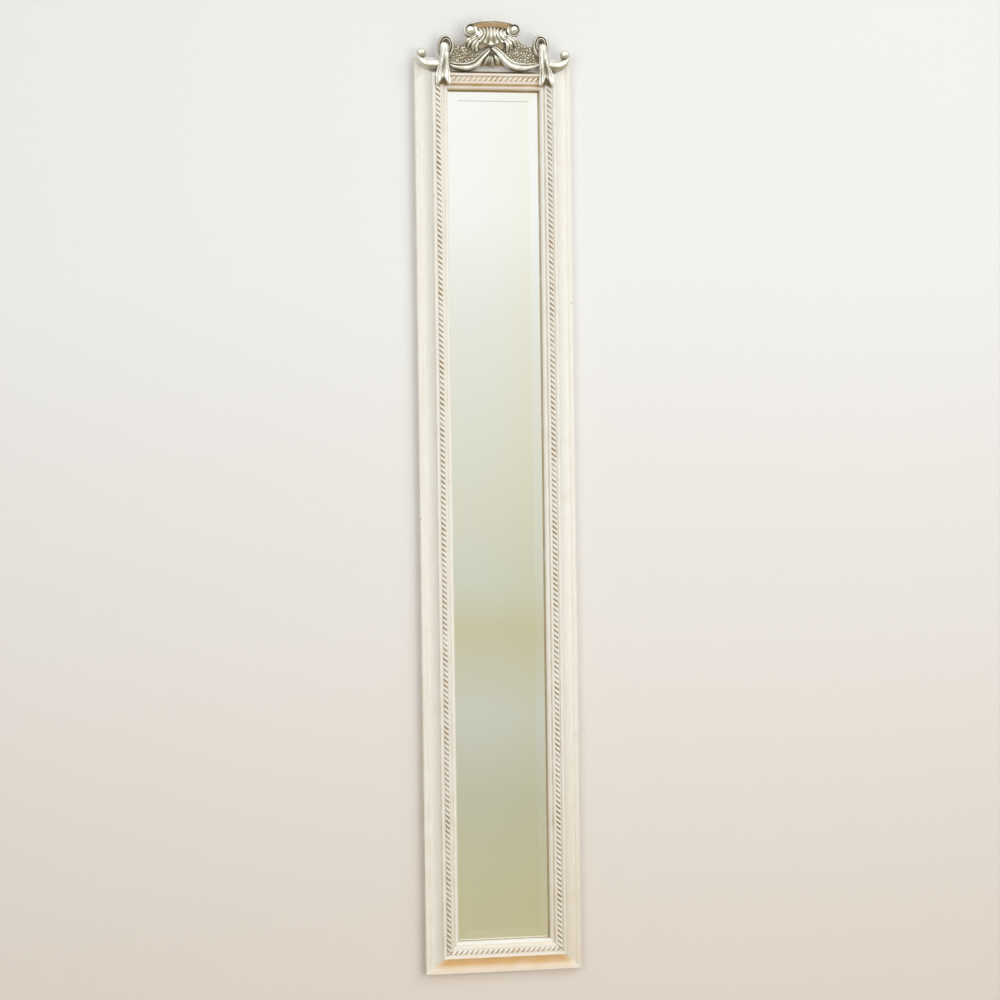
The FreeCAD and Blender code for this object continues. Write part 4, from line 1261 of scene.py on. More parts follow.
    # Heights of a swag's broad and narrow folds and of the valley between them, and across it from its lower
    # edge: where the broad fold has rolled over, where it breaks off, the narrow one's middle and half width,
    # and a pleat's depth, middle and width.
    swag_folds: tuple[float, float] = (9.2, 8.0)
    swag_valley: float = 5.0
    swag_roll: float = 0.22
    swag_break: tuple[float, float] = (0.64, 0.5)
    swag_narrow: tuple[float, float] = (0.8, 0.2)
    swag_pleat: tuple[float, float, float] = (0.8, 0.2, 0.05)
    # Rows of share from rim to eye and height, for the rings of a bow loop.
    loop_rings: tuple = (
        (0.0, 0.6), (0.05, 2.6), (0.16, 4.8), (0.27, 4.9), (0.36, 3.5), (0.46, 5.6), (0.56, 5.7), (0.64, 4.2),
        (0.74, 5.3), (0.8, 4.9), (0.9, 3.0), (1.0, 2.2),
    )
    # Rows of share down the ribbon and width, and of share and swell.
    tail_widths: tuple = (
        (0.0, 6.0), (0.03, 10.2), (0.1, 13.0), (0.35, 13.0), (0.52, 15.4), (0.68, 18.6), (0.82, 20.6),
        (1.0, 22.0),
    )
    tail_swell: tuple = (
        (0.0, 0.35), (0.04, 0.8), (0.12, 1.05), (0.4, 0.95), (0.8, 0.9), (0.93, 1.0), (1.0, 0.75),
    )
    # Rows of x, rise and radius along a scroll arm, and the middle of its ball.
    arm_path: tuple = (
        (72.0, -10.8, 6.0), (79.5, -12.6, 6.9), (87.5, -13.4, 7.2), (96.5, -11.9, 6.5), (103.2, -7.0, 5.0),
        (106.7, -0.8, 3.7), (107.0, 4.4, 2.7), (104.6, 8.4, 1.8),
    )
    arm_ball_at: tuple[float, float] = (102.8, 3.6)
    arm_lift: float = 0.7
    ball_r: float = 6.6
    bow_x: float = 68.0
    loop_rise: dict = field(default_factory=lambda: {Side.LEFT: 12.8, Side.RIGHT: 15.3})
    loop_half: tuple[float, float] = (12.2, 17.3)
    tail_top: float = 18.5
    tail_drop: float = 43.5
    tail_h: float = 26.2
    tail_notch: float = 12.0
    tail_tip: float = 0.74
    tail_out: float = 2.7
    tail_leans: tuple[float, float] = (2.2, 4.2)
    tail_lift: float = 5.5
    tail_least: float = 0.8
    # The lining between a tail's points: its span down the ribbon, its half width and that in mm when open.
    lining_down: tuple[float, float] = (0.72, 0.955)
    lining_half: float = 0.62
    lining_w: float = 11.0
    arm_ball: float = 7.2
    stipple_mm: float = 2.7
    stipple_seed: int = 11
    bead_mm: float = 1.15
    bead_foot: float = 0.6
    ground_recess: float = 0.65
    scoop_recess: float = 0.6
    # The tail's lining is painted dark as the shade under the ribbon.
    lining_recess: float = 0.9
    # Values of recess from here up are given, and shading leaves them alone.
    set_recess: float = 0.6
    # How much a face that looks down is darkened, painted shade on undersides, and how much less a neighbour
    # adds to the patina at full reach.
    under: float = 0.34
    far_shade: float = 0.6
    # How much each kind of piece is lightened (below 0) or darkened (above 0), set per piece to how bright it
    # looks lit: partly toning of the leaf and partly painted light, the right swag kept pale as a painted
    # highlight.
    ages: dict = field(default_factory=lambda: {
        "bow_loop_roll_left": 0.3, "bow_loop": 0.18, "ribbon_tail_left": 0.12, "ribbon_tail": 0.21,
        "scroll_arm": 0.12, "draped_swag_right": -0.36, "draped_swag": -0.02, "leaf": -0.1, "curled": -0.06,
        "fluted": -0.2,
    })
    leaf: SilverLeaf = SilverLeaf()
    pieces: list[Object] = field(default_factory=list)

    def ground_tree(self) -> NodeTree:
        """Build the tree that covers the ground's face with small uneven beads.

        Returns:
            The tree.
        """
        tree, given = blank_tree("stippled_ground", {
            "Spacing": "NodeSocketFloat", "Bead": "NodeSocketFloat", "Seed": "NodeSocketInt",
            "Finish": "NodeSocketMaterial",
        })
        size = given.outputs
        normal = put(tree, "GeometryNodeInputNormal")
        facing = put(tree, "ShaderNodeSeparateXYZ", (normal,)).outputs[1]
        front = put(tree, "ShaderNodeMath", (facing, -0.9), operation="LESS_THAN")
        spread = put(tree, "GeometryNodeDistributePointsOnFaces", {
            "Mesh": size["Geometry"], "Selection": front, "Distance Min": size["Spacing"],
            "Density Max": 400000.0, "Seed": size["Seed"],
        }, distribute_method="POISSON")
        bead = put(tree, "GeometryNodeMeshUVSphere", {"Segments": 8, "Rings": 4, "Radius": size["Bead"]})
        where = put(tree, "GeometryNodeInputPosition")
        depth = put(tree, "ShaderNodeSeparateXYZ", (where,)).outputs[2]
        share = put(tree, "ShaderNodeMath", (depth, size["Bead"]), operation="DIVIDE")
        dark = put(tree, "ShaderNodeMapRange", (share, 0.0, 0.8, self.bead_foot, 0.0))
        tinted = put(tree, "GeometryNodeStoreNamedAttribute", {
            "Geometry": bead.outputs["Mesh"], "Name": "recess", "Value": dark,
        }, data_type="FLOAT", domain="POINT")
        uneven = put(tree, "FunctionNodeRandomValue", {
            0: (0.7, 0.7, 0.6), 1: (2.0, 1.2, 1.4), "Seed": 7,
        }, data_type="FLOAT_VECTOR")
        spin = put(tree, "FunctionNodeRandomValue", {
            0: (0.0, 0.0, 0.0), 1: (0.0, 0.0, math.tau), "Seed": 3,
        }, data_type="FLOAT_VECTOR")
        about = put(tree, "FunctionNodeEulerToRotation", (spin,))
        turned = put(tree, "FunctionNodeRotateRotation", {
            "Rotation": spread.outputs["Rotation"], "Rotate By": about,
        }, rotation_space="LOCAL")
        beads = put(tree, "GeometryNodeInstanceOnPoints", {
            "Points": spread.outputs["Points"], "Instance": tinted, "Rotation": turned, "Scale": uneven,
        })
        real = put(tree, "GeometryNodeRealizeInstances", {"Geometry": beads})
        whole = put(tree, "GeometryNodeJoinGeometry")
        for part in (size["Geometry"], real):
            feed(tree, whole, (part,))
        end_tree(tree, whole, size["Finish"])
        return tree

    def ground(self, finish: Material) -> Object:
        """Make the stippled board behind the ornaments.

        Args:
            finish: The leaf.

        Returns:
            The piece.
        """
        right = [*self.ground_shoulder, *smooth(self.ground_neck, 9), *self.ground_foot]
        left = [(-x, rise) for x, rise in reversed(right)]
        outline = np.array([*smooth(self.ground_top, 15), *right, *smooth(self.ground_arch, 9), *left])
        inner = outline * 0.985 + outline.mean(0) * 0.015
        levels = ((outline, CREST_BACK), (outline, CREST_FACE - self.ground_bevel), (inner, CREST_FACE))
        rings = np.array([points(ring[:, 0], ring[:, 1], height) for ring, height in levels])
        draft = Draft()
        draft.loft(rings, recess=self.ground_recess, raw=[[1.0], [0.0], [0.0]])
        return grown(
            draft.piece("stippled_ground", crease=30.0), self.ground_tree(), spacing=self.stipple_mm * MM,
            bead=self.bead_mm * MM, seed=self.stipple_seed, finish=finish,
        )

    def hood(self) -> Object:
        """Make the arched cornice: a thin rolled rim over a broad gilded hollow."""
        ends = [math.asin((self.volute_at[side][0] - self.hood_x) / self.hood_r) for side in Side]
        profile = [(self.hood_r - 0.6, 1.5, 0.0), (self.hood_r, 5.0, 0.0), (self.hood_r, 9.0, 0.0)]
        for f in np.linspace(0, 1, 9):
            turn = math.pi * (0.05 + 0.95 * f)
            crown = self.hood_proud - 1.2 + 1.2 * math.sin(turn)
            profile.append((self.hood_r - 1.0 + math.cos(turn), crown, 0.0))
        for f in np.linspace(0, 1, 11)[1:]:
            fall = self.hood_low + (self.hood_proud - 2.0 - self.hood_low) * (1 - f) ** 1.5
            gilt = min(1.0, 4 * f, 7 * (1.08 - f))
            profile.append((self.hood_r - 2.0 - (self.hood_band - 2.0) * f, fall, gilt))
        r, proud, gild = np.array(profile).T
        angle = np.linspace(*ends, 61)[:, None]
        rise = self.hood_rise - self.hood_r + r * np.cos(angle)
        front = points(self.hood_x + r * np.sin(angle), rise, CREST_FACE + proud)
        draft = Draft()
        draft.relief(front, CREST_FACE - self.hood_sunk, gild=np.broadcast_to(gild, front.shape[:2]))
        return draft.piece("arched_hood")

    def roll(self, draft: Draft, side: Side, knots: Sequence[Sequence[float]], count: int = 24) -> None:
        """Add a round roll along a path, sunk to half or less in the ground.

        Args:
            draft: Where it goes.
            side: Which half.
            knots: Rows of x, rise, radius and height of the middle line over the ground, mm.
            count: How many rings it has.
        """
        rows = smooth(knots, count)
        thick, lift = rows[:, 2:3], rows[:, 3:4]
        ring = np.linspace(0, math.tau, 18, endpoint=False)
        x, rise = square_to(rows[:, :2], thick, ring)
        height = np.maximum(lift + thick * np.sin(ring), -0.3 + 0.05 * np.sin(ring))
        draft.loft(points(side.value * x, rise, CREST_FACE + height))

    def volute(self, side: Side) -> Object:
        """Make a volute: a ball on a stub, with the hood's rim curling close round it.

        Args:
            side: Which half.

        Returns:
            The piece.
        """
        draft = Draft()
        mid_x, mid_rise = self.volute_at[side]
        ring = np.linspace(0, math.tau, 28, endpoint=False)
        steps = [(self.ball_r * 0.9, 0.0), (self.ball_r * 0.97, self.volute_proud - 1.5)]
        steps += [
            (self.ball_r * math.cos(a), self.volute_proud + self.ball_r * math.sin(a))
            for a in np.linspace(0, math.pi / 2 - 0.06, 12)
        ]
        r, proud = np.array(steps).T
        x = mid_x + r[:, None] * np.cos(ring)
        rise = mid_rise + r[:, None] * np.sin(ring)
        draft.loft(points(x, rise, CREST_FACE + proud[:, None]))
        f = np.linspace(0, 1, 48)[:, None]
        turn = np.radians(np.linspace(*self.rim_turn, len(f)))[:, None]
        mid, thick, tall, top = (start - loss * f for start, loss in self.rim_taper)
        out = mid + thick * np.cos(ring[::2])
        x = mid_x + side.value * out * np.cos(turn)
        rise = mid_rise + out * np.sin(turn)
        draft.loft(points(x, rise, CREST_FACE + top - tall + tall * np.sin(ring[::2])))
        turn = np.radians(np.linspace(150, -210, 49))[:-1, None]
        r, proud = np.array(self.collar).T
        x = mid_x + side.value * r * np.cos(turn)
        rise = mid_rise + r * np.sin(turn)
        draft.relief(points(x, rise, CREST_FACE + proud), CREST_FACE - self.hood_sunk, around=True)
        return draft.piece(f"volute_scroll_{side.label}")

    def shell(self) -> Object:
        """Make the shell: ribs that drop from under the hood and sweep out over two gilded scoops."""
        half = np.array(self.shell_ribs)
        ribs = np.concatenate([half[:0:-1] * (-1, 1), half])
        spread = np.array(self.shell_spread)
        where = np.concatenate([-spread[:0:-1], spread])
        s = np.linspace(-spread[-1], spread[-1], 109)
        t = np.linspace(0, 1, 36)
        drawn = np.array([smooth(rib, len(t)) for rib in ribs])
        x = np.array([np.interp(s, where, drawn[:, i, 0]) for i in range(len(t))])
        rise = np.array([np.interp(s, where, drawn[:, i, 1]) for i in range(len(t))])
        t = t[:, None]
        crown = np.abs(np.cos(4 * math.pi * s)) ** 0.8
        body = 4.4 + 3.4 * np.sin(math.pi * np.clip(t * 1.2, 0, 1)) + 2.2 * ease(0.7, 0.95, t)
        lip = 1 - 0.5 * ease(0.9, 1.0, t)
        height = np.maximum((body * (1 - 0.22 * s**2) + 2.5 * (crown - 1)) * lip, 0.6)
        draft = Draft()
        draft.relief(points(self.shell_x + x, rise, CREST_FACE + height), CREST_FACE - self.shell_sunk)
        for side in Side:
            self.scoop(draft, side)
        return draft.piece("fluted_shell")

    def scoop(self, draft: Draft, side: Side) -> None:
        """Add the smooth gilded hollow under one half of the shell's ribs.

        Args:
            draft: Where it goes.
            side: Which half.
        """
        edges = smooth(self.scoop_edges, 25)
        q = np.linspace(0, 1, 13)
        x = self.shell_x + side.value * (edges[:, :1] + (edges[:, 2:3] - edges[:, :1]) * q)
        rise = edges[:, 1:2] + (edges[:, 3:4] - edges[:, 1:2]) * q
        height = CREST_FACE + 4.4 + 1.4 * np.cos(math.tau * q)
        draft.relief(points(x, rise, height), CREST_FACE - self.shell_sunk, gild=self.scoop_gild)
        draft.values["recess"][-1] = np.full(2 * x.size, self.scoop_recess)

    def petal(
        self, draft: Draft, root: tuple[float, float], length: float, half: float, lean: float, proud: float
    ) -> None:
        """Add one pointed petal with a groove along it, broadest below its middle, its tip lifted a little.

        Args:
            draft: Where it goes.
            root: Its upper end: x and rise, mm.
            length: Its length, mm.
            half: Its greatest half width, mm.
            lean: Its turn from straight down towards +x, degrees.
            proud: How far it stands off the ground, mm.
        """
        f = np.linspace(0, 1, 20)[:, None]
        q = np.linspace(-1, 1, 15)
        ax, az = math.sin(math.radians(lean)), -math.cos(math.radians(lean))
        wide = half * np.maximum(np.sin(math.pi * f**1.3) ** 0.8, 0.06)
        x = root[0] + ax * length * f - az * wide * q
        rise = root[1] + az * length * f + ax * wide * q
        swell = np.maximum(np.sin(math.pi * (0.15 + 0.8 * f)), 0.2) ** 0.7
        across = 1 - 0.5 * q**2 - 0.16 * np.exp(-((q / 0.2) ** 2))
        height = CREST_FACE + np.maximum(proud * swell * across, 0.5) + 1.4 * f**3
        draft.relief(points(x, rise, height), CREST_FACE - self.shell_sunk)

    def curled_leaf(self, side: Side) -> Object:
        """Make the leaf under one wing of the shell: four fingers that go on from its ribs and curl down.

        Args:
            side: Which half.

        Returns:
            The piece.
        """
        draft = Draft()
        out, up = self.leaf_at[side]
        for finger in np.array(self.leaf_fingers):
            self.roll(draft, side, finger + (side.value * out, up, 0.0, 0.0))
        return draft.piece(f"curled_leaf_{side.label}")

    def leaf_drop(self) -> Object:
        """Make the drop of five grooved leaves that hangs where the swags meet."""
        draft = Draft()
        for x, rise, length, half, lean, proud in self.drop_leaves:
            self.petal(draft, (x, rise), length, half, lean, proud)
        return draft.piece("leaf_pendant")

    def swag(self, side: Side) -> Object:
        """Make a swag: a broad lower fold and a narrow upper one, hung from the middle to the bow.

        Args:
            side: Which half.

        Returns:
            The piece.
        """
        rows = smooth(self.swag_edges[side], 72)
        upper, lower, proud = rows[:, :2], rows[:, 2:4], rows[:, 4:5]
        q = 0.5 - 0.5 * np.cos(np.linspace(0, math.pi, 57))
        roll = self.swag_roll
        under = np.sqrt(np.maximum(1 - ((roll - q) / roll) ** 2, 0))
        over = 1 - 0.3 * (np.maximum(q - roll, 0) / 0.4) ** 1.5
        broad = self.swag_folds[0] * np.where(q < roll, under, over) * ease(*self.swag_break, q)
        middle, half = self.swag_narrow
        narrow = self.swag_folds[1] * np.sqrt(np.maximum(1 - ((q - middle) / half) ** 2, 0))
        deep, line, wide = self.swag_pleat
        pleat = deep * np.exp(-(((q - line) / wide) ** 2))
        valley = self.swag_valley * ease(0.46, 0.54, q) * ease(0.8, 0.72, q)
        lift = np.maximum.reduce([broad - pleat, narrow, valley, np.ones_like(q)])
        x = lower[:, :1] + (upper[:, :1] - lower[:, :1]) * q
        rise = lower[:, 1:] + (upper[:, 1:] - lower[:, 1:]) * q
        draft = Draft()
        draft.relief(points(side.value * x, rise, CREST_FACE + proud * lift), CREST_FACE - self.ribbon_sunk)
        return draft.piece(f"draped_swag_{side.label}")

    def bow_loop(self, side: Side) -> Object:
        """Make a bow loop: ribbon rolled in rings about a deep eye.

        Args:
            side: Which half.

        Returns:
            The piece.
        """
        turn = np.linspace(0, math.tau, 96, endpoint=False)[:, None]
        t = np.linspace(0, 1, 40)
        half_w, half_h = self.loop_half
        wide = half_w * (1 - t) + 0.4 * t
        tall = half_h * (1 - t) + 0.6 * t
        x = self.bow_x + wide * np.cos(turn)
        rise = self.loop_rise[side] + 4.5 * t**1.3 + tall * np.sin(turn)
        lift = np.interp(t, *np.array(self.loop_rings).T) * (1.0 + 0.12 * np.sin(turn))
        front = points(side.value * x, rise, CREST_FACE + lift)
        draft = Draft()
        draft.relief(front, CREST_FACE - self.ribbon_sunk, around=True)
        return draft.piece(f"bow_loop_roll_{side.label}")

    def bow_tail(self, side: Side) -> Object:
        """Make a ribbon tail: a fold at the eye that opens into two points, with its lining between them
        painted dark as shade.

        Args:
            side: Which half.

        Returns:
            The piece.
        """
        f = np.linspace(0, 1, 80)[:, None]
        q = np.linspace(-1, 1, 49)
        width = np.interp(f, *np.array(self.tail_widths).T)
        tip = self.tail_tip
        fork = np.where(np.abs(q) < tip, 1 - np.abs(q) / tip, 0.35 * (np.abs(q) - tip) / (1 - tip))
        full = self.tail_top + self.tail_drop
        fall = full - self.tail_notch * fork * ease(0.4, 1.0, f)
        lean = self.tail_leans[0 if side is Side.LEFT else 1]
        middle = self.bow_x + self.tail_out + lean * f - 0.9 * np.sin(math.tau * f)
        opened = ease(0.1, 0.6, f)
        one = 1 - 0.7 * q**2
        two = (0.25 + 0.8 * np.abs(np.sin(math.pi * q * 0.98)) ** 0.8) * (1 - 0.25 * q**2)
        pleat = 0.1 * np.cos(6 * math.pi * q) * opened
        swell = np.interp(f, *np.array(self.tail_swell).T)
        lift = self.tail_lift * swell * (one * (1 - opened) + two * opened + pleat)
        height = self.tail_h + np.maximum(lift, self.tail_least) + 0.8 * ease(0.82, 0.98, f)
        draft = Draft()
        x = middle + width / 2 * q
        draft.relief(points(side.value * x, self.tail_top - fall * f, height), self.tail_h)
        down = np.linspace(*self.lining_down, 12)[:, None]
        across = np.linspace(-self.lining_half, self.lining_half, 13)
        opening = self.lining_w * (0.45 + 0.55 * ease(0.7, 0.9, down))
        x = self.bow_x + self.tail_out + lean * down + 0.9 + opening * across
        lining = self.tail_h + 0.5 + 0.5 * np.cos(3 * math.pi * across)
        draft.relief(points(side.value * x, self.tail_top - full * down, lining), self.tail_h - 0.2)
        # The lining is painted dark: the shade under the ribbon.
        draft.values["recess"][-1] = np.full(2 * x.size, self.lining_recess)
        return draft.piece(f"ribbon_tail_{side.label}")

    def scroll_arm(self, side: Side) -> Object:
        """Make a scroll arm: a tapering roll that curls up round a ball at the frame's corner.

        Args:
            side: Which half.

        Returns:
            The piece.
        """
        rows = smooth(self.arm_path, 56)
        ring = np.linspace(0, math.tau, 32, endpoint=False)
        grooves = 0.16 * np.exp(-(((ring - 1.15) / 0.22) ** 2)) + 0.12 * np.exp(-(((ring - 2.15) / 0.2) ** 2))
        r = rows[:, 2:3] * (1 - grooves)
        x, rise = square_to(rows[:, :2], r, ring)
        middle = CREST_FACE + self.arm_lift
        height = np.maximum(middle + r * np.sin(ring), CREST_BACK + 0.2)
        draft = Draft()
        draft.loft(points(side.value * x, rise, height))
        turn = np.linspace(-math.pi / 2 + 0.08, math.pi / 2 - 0.08, 20)[:, None]
        ball_x, ball_rise = self.arm_ball_at
        out = self.arm_ball * np.cos(turn)
        draft.loft(points(
            side.value * ball_x + out * np.cos(ring), ball_rise + out * np.sin(ring),
            middle + self.arm_ball * np.sin(turn),
        ))
        return draft.piece(f"scroll_arm_roll_{side.label}")

    def settle_patina(self, reach_mm: float = 7.0, rays: int = 18) -> None:
        """Mark how deep each point of the ornaments lies between its neighbours, for the patina to gather in,
        with painted shade on faces that look down and each piece's own tone added.

        Args:
            reach_mm: How far a neighbour still shades a point.
            rays: How many directions are looked in.
        """
        places, faces, count = [], [], 0
        for piece in self.pieces:
            places += [v.co.copy() for v in piece.data.vertices]
            faces += [tuple(i + count for i in p.vertices) for p in piece.data.polygons]
            count += len(piece.data.vertices)
        tree = BVHTree.FromPolygons(places, faces)
        k = np.arange(rays)
        up = np.sqrt(1 - (k + 0.5) / rays)
        out = np.sqrt(1 - up**2)
        turns = k * GOLDEN_ANGLE
        fan = [Vector(way) for way in np.stack([out * np.cos(turns), out * np.sin(turns), up], -1).tolist()]
        reach, clear = reach_mm * MM, 0.2 * MM
        for piece in self.pieces:
            recess = piece.data.attributes["recess"].data
            aging_and_light = next((value for start, value in self.ages.items() if piece.name.startswith(start)), 0.0)
            for vertex in piece.data.vertices:
                held = recess[vertex.index]
                looks_back = vertex.normal.y > 0.6
                if looks_back or held.value >= self.set_recess:
                    continue
                turn = vertex.normal.to_track_quat("Z", "Y").to_matrix()
                start = vertex.co + vertex.normal * clear
                # Faces that look down are darkened as painted shade.
                shade = self.under * max(0.0, -vertex.normal.z) * rays
                for way in fan:
                    distance = tree.ray_cast(start, turn @ way, reach)[3]
                    if distance is not None:
                        shade += 1 - self.far_shade * distance / reach
                held.value = max(held.value, shade / rays + aging_and_light)

    def build(self) -> None:
        """Make every ornament, let the patina settle and lay the leaf."""
        finish = self.leaf.material("antique_silver_leaf")
        made = [
            (self.ground(finish), "crest_board"),
            (self.hood(), "crest_hood"),
            (self.shell(), "crest_shell"),
            (self.leaf_drop(), "leaf_drop"),
        ]
        for side in Side:
            made += [
                (self.volute(side), f"volute_{side.label}"),
                (self.curled_leaf(side), f"curled_leaf_{side.label}"),
                (self.swag(side), f"swag_{side.label}"),
                (self.bow_loop(side), f"bow_loop_{side.label}"),
                (self.bow_tail(side), f"bow_tail_{side.label}"),
                (self.scroll_arm(side), f"scroll_arm_{side.label}"),
            ]
        self.pieces = [piece for piece, _ in made]
        self.settle_patina()
        for piece, node in made:
            dress(piece, finish, node)


@dataclass
class Studio:
    """The wall it hangs on, a pale floor, soft light from the upper right and the camera."""

    camera_at: tuple[float, float, float] = (-0.4355, -2.961, -0.5965)
    yaw: float = 8.467
    pitch: float = -0.464
    roll: float = 0.749
    focal_px: float = 2085.0
    image_px: float = 1000.0
    wall_paint: str = "F2F2F0"
    # The warmer tone the wall is painted towards the floor: painted warm light bounced up from the floor.
    wall_warm: str = "E7DFD6"
    wall_warm_z: tuple[float, float] = (-0.3, -1.4)
    wall_rough: float = 0.85
    roller_mm: float = 50 / 3
    roller_relief_mm: float = 0.4
    floor_paint: str = "DCC4A2"
    floor_cloud_mm: float = 1000 / 3
    floor_rough: float = 0.7
    lamp_white: str = "FFFEFB"
    world_even: str = "FAFCFF"
    world_seen: str = "F6F5F2"
    even_strength: float = 0.5
    # The room that mirrors show, as colour by height and by side, and how much its ceiling glows.
    room: tuple = (
        (-1.0, "84754F"), (-0.6, "A89C76"), (-0.38, "CAC4A2"), (-0.20, "C5BF9C"), (-0.15, "C2C0AA"),
        (-0.11, "CDCEC2"), (-0.07, "CCC7AA"), (-0.05, "D2D3C4"), (-0.01, "DCDBCC"), (0.08, "ECECE6"),
        (0.13, "F9FAF9"), (0.18, "FCFDFC"), (0.24, "FCFDFC"), (0.27, "B8B8B0"), (0.3, "FCFDFC"),
        (1.0, "F2F2F2"),
    )
    sides: tuple = (
        (-1.0, "F8F8F8"), (-0.06, "FFFFFD"), (0.12, "FFFFFF"), (0.145, "FEFEFC"), (0.17, "FDFAEE"),
        (0.34, "FFFFFF"), (1.0, "F8F8F8"),
    )
    glow: float = 1.9
    glow_from: tuple[float, float] = (0.38, 0.6)
    # The stage in metres: half its width, the floor's level and depth, the wall's top and its lap.
    stage_half: float = 2.5
    floor_z: float = -1.9
    floor_deep: float = 1.2
    wall_top: float = 1.6
    wall_lap: float = 0.008
    # For each lamp its name, place, aim, side in metres, power in watts and whether it shows in mirrors.
    lamps: tuple = (
        ("key", (1.6, -2.3, 1.05), (0.0, 0.0, -0.6), 1.4, 19.5, True),
        ("fill", (-1.3, -2.5, 0.1), (0.0, 0.0, -0.5), 1.2, 14.0, True),
        ("front", (0.8, -2.9, -0.6), (0.2, 0.0, -0.7), 1.2, 20.5, False),
    )

    def wall(self) -> None:
        """Stand a wall behind the mirror, open where the frame covers it and clear when seen from behind."""
        made, tree, shader = blank_material("matt_wall_paint")
        where = put(tree, "ShaderNodeTexCoord").outputs["Object"]
        level = put(tree, "ShaderNodeSeparateXYZ", (where,)).outputs["Z"]
        # The wall is painted warmer towards the floor: painted warm bounce light.
        low = put(tree, "ShaderNodeMapRange", (level, *self.wall_warm_z))
        colour = put(tree, "ShaderNodeMix", {
            0: low, 6: linear(self.wall_paint), 7: linear(self.wall_warm),
        }, data_type="RGBA").outputs[2]
        roller = put(tree, "ShaderNodeTexNoise", {
            "Vector": where, "Scale": 1 / (self.roller_mm * MM), "Detail": 3.0,
        })
        bump = put(tree, "ShaderNodeBump", {
            "Height": roller, "Strength": 0.15, "Distance": self.roller_relief_mm * MM,
        })
        feed(tree, shader, {"Base Color": colour, "Normal": bump, "Roughness": self.wall_rough})
        behind = put(tree, "ShaderNodeNewGeometry").outputs["Backfacing"]
        clear = put(tree, "ShaderNodeBsdfTransparent")
        both = put(tree, "ShaderNodeMixShader", (behind, shader, clear))
        feed(tree, tree.nodes["Material Output"], {"Surface": both})
        far, low_z, high_z = self.stage_half, self.floor_z, self.wall_top
        gap_x, lap = HALF_W * MM - self.wall_lap, self.wall_lap
        gap_low, gap_high = BOTTOM * MM + lap, TOP * MM - lap
        spots = [
            (-far, 0, low_z), (far, 0, low_z), (far, 0, high_z), (-far, 0, high_z),
            (-gap_x, 0, gap_low), (gap_x, 0, gap_low), (gap_x, 0, gap_high), (-gap_x, 0, gap_high),
        ]
        self.put_stage("wall", spots, [(0, 1, 5, 4), (1, 2, 6, 5), (2, 3, 7, 6), (3, 0, 4, 7)], made)

    def floor(self) -> None:
        """Lay a pale floor below the mirror."""
        made, tree, shader = blank_material("pale_floor")
        where = put(tree, "ShaderNodeTexCoord").outputs["Object"]
        cloud = put(tree, "ShaderNodeTexNoise", {
            "Vector": where, "Scale": 1 / (self.floor_cloud_mm * MM), "Detail": 2.0,
        })
        spread = put(tree, "ShaderNodeMapRange", {0: cloud, 3: 0.0, 4: 0.3})
        colour = put(tree, "ShaderNodeMix", {
            0: spread, 6: linear(self.floor_paint), 7: linear(self.wall_warm),
        }, data_type="RGBA").outputs[2]
        feed(tree, shader, {"Base Color": colour, "Roughness": self.floor_rough})
        far, deep, z = self.stage_half, self.floor_deep, self.floor_z
        spots = [(-far, -deep, z), (far, -deep, z), (far, 0, z), (-far, 0, z)]
        self.put_stage("floor", spots, [(0, 1, 2, 3)], made)

    def put_stage(self, name: str, spots: list, faces: list, finish: Material) -> None:
        """Add one surface of the stage.

        Args:
            name: Its name.
            spots: Its corners, in metres.
            faces: Its faces.
            finish: Its material.
        """
        mesh = bpy.data.meshes.new(name)
        mesh.from_pydata(spots, [], faces)
        mesh.materials.append(finish)
        new_object(name, mesh)

    def world(self) -> None:
        """Light everything evenly, and give mirrors a room that darkens from ceiling to floor."""
        world = bpy.data.worlds.new("studio")
        bpy.context.scene.world = world
        world.use_nodes = True
        tree = world.node_tree
        tree.nodes.clear()
        way = put(tree, "ShaderNodeTexCoord").outputs["Generated"]
        axis = put(tree, "ShaderNodeSeparateXYZ", (way,)).outputs
        tones = []
        for level, stops in ((axis[2], self.room), (axis[0], self.sides)):
            share = put(tree, "ShaderNodeMapRange", (level, -1.0, 1.0))
            ramp = put(tree, "ShaderNodeValToRGB", (share,))
            marks = ramp.color_ramp.elements
            while len(marks) < len(stops):
                marks.new(0.5)
            for mark, (place, code) in zip(marks, stops):
                mark.position = (place + 1) / 2
                mark.color = linear(code)
            tones.append(ramp)
        tone = put(tree, "ShaderNodeMix", {
            0: 1.0, 6: tones[0], 7: tones[1],
        }, data_type="RGBA", blend_type="MULTIPLY").outputs[2]
        glow = put(tree, "ShaderNodeMapRange", (axis[2], *self.glow_from, 1.0, self.glow))
        ray = put(tree, "ShaderNodeLightPath").outputs
        kinds = (ray["Is Glossy Ray"], ray["Is Transmission Ray"])
        mirrored = put(tree, "ShaderNodeMath", kinds, operation="MAXIMUM")
        even, seen, white = (
            put(tree, "ShaderNodeBackground", {"Color": colour, "Strength": strength})
            for colour, strength in (
                (linear(self.world_even), self.even_strength), (tone, glow), (linear(self.world_seen), 1.0),
            )
        )
        lit = put(tree, "ShaderNodeMixShader", (mirrored, even, seen))
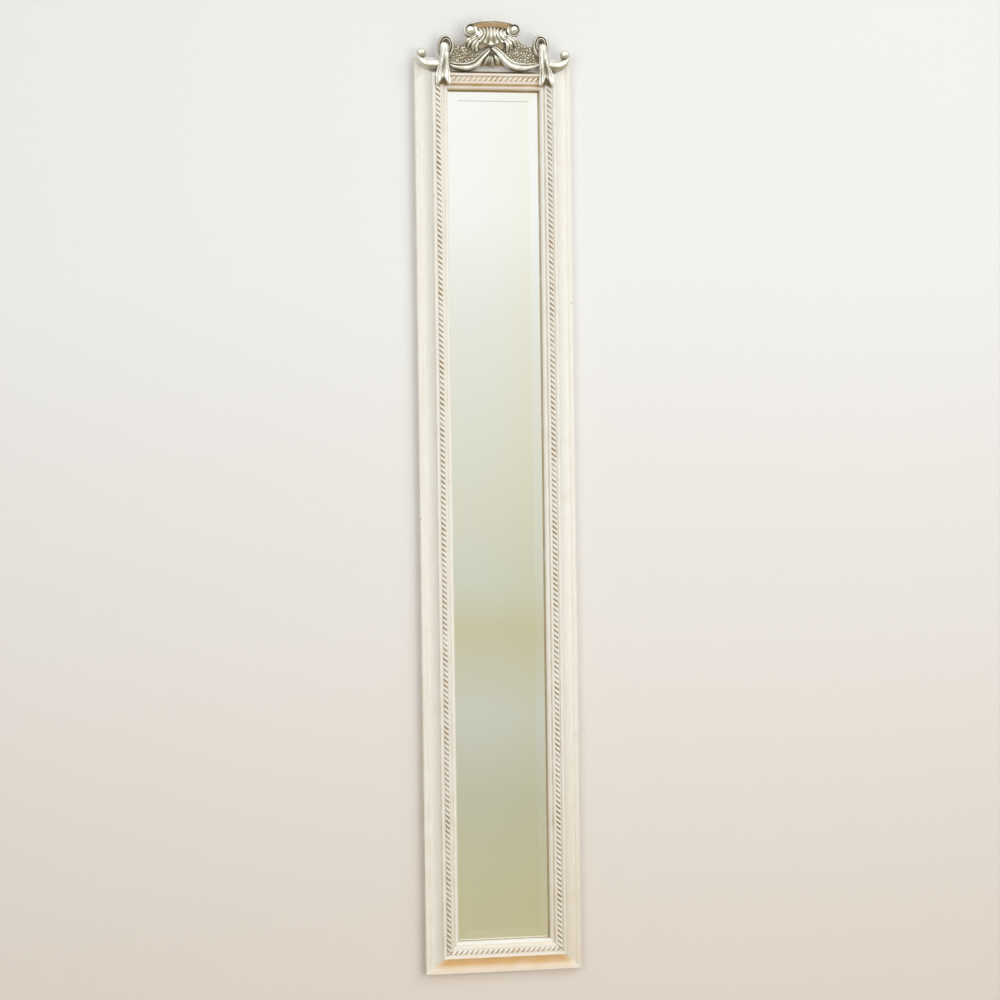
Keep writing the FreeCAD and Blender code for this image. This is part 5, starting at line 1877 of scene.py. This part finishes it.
        whole = put(tree, "ShaderNodeMixShader", (ray["Is Camera Ray"], lit, white))
        put(tree, "ShaderNodeOutputWorld", {"Surface": whole})

    def lamp(self, name: str, place: tuple, aim: tuple, size: float, power: float, mirrored: bool) -> None:
        """Hang a soft square lamp.

        Args:
            name: Its name.
            place: Where it hangs, in metres.
            aim: The point it faces.
            size: Its side, in metres.
            power: Its power, in watts.
            mirrored: Whether it shows in mirrors.
        """
        light = bpy.data.lights.new(name, "AREA")
        light.shape = "SQUARE"
        light.size = size
        light.energy = power
        light.color = linear(self.lamp_white)[:3]
        made = new_object(name, light)
        made.location = place
        made.rotation_euler = (Vector(aim) - Vector(place)).to_track_quat("-Z", "Y").to_euler()
        made.visible_camera = False
        made.visible_glossy = mirrored

    def camera(self) -> None:
        """Set the camera where the picture was taken from."""
        yaw, pitch, roll = (math.radians(v) for v in (self.yaw, self.pitch, self.roll))
        ahead = Vector((math.sin(yaw) * math.cos(pitch), math.cos(yaw) * math.cos(pitch), math.sin(pitch)))
        level = Vector((math.cos(yaw), -math.sin(yaw), 0.0))
        above = level.cross(ahead)
        right = level * math.cos(roll) - above * math.sin(roll)
        above = right.cross(ahead)
        lens = bpy.data.cameras.new("camera")
        lens.sensor_width = 36.0
        lens.lens = self.focal_px / self.image_px * lens.sensor_width
        made = new_object("camera", lens)
        turn = Matrix((right, above, -ahead)).transposed().to_4x4()
        made.matrix_world = Matrix.Translation(self.camera_at) @ turn
        bpy.context.scene.camera = made

    def build(self) -> None:
        """Set up the stage, the light and the camera."""
        bpy.context.scene.view_settings.view_transform = "Standard"
        self.wall()
        self.floor()
        self.world()
        for lamp in self.lamps:
            self.lamp(*lamp)
        self.camera()


def main() -> None:
    """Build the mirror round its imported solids."""
    logging.basicConfig(level=logging.INFO, format="%(name)s: %(message)s")
    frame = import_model()
    Studio().build()
    Moulding().build()
    RopeStrips().build()
    Glazing().build()
    Fastenings().build(frame["nodes"])
    Crest().build()


if __name__ == "__main__":
    main()
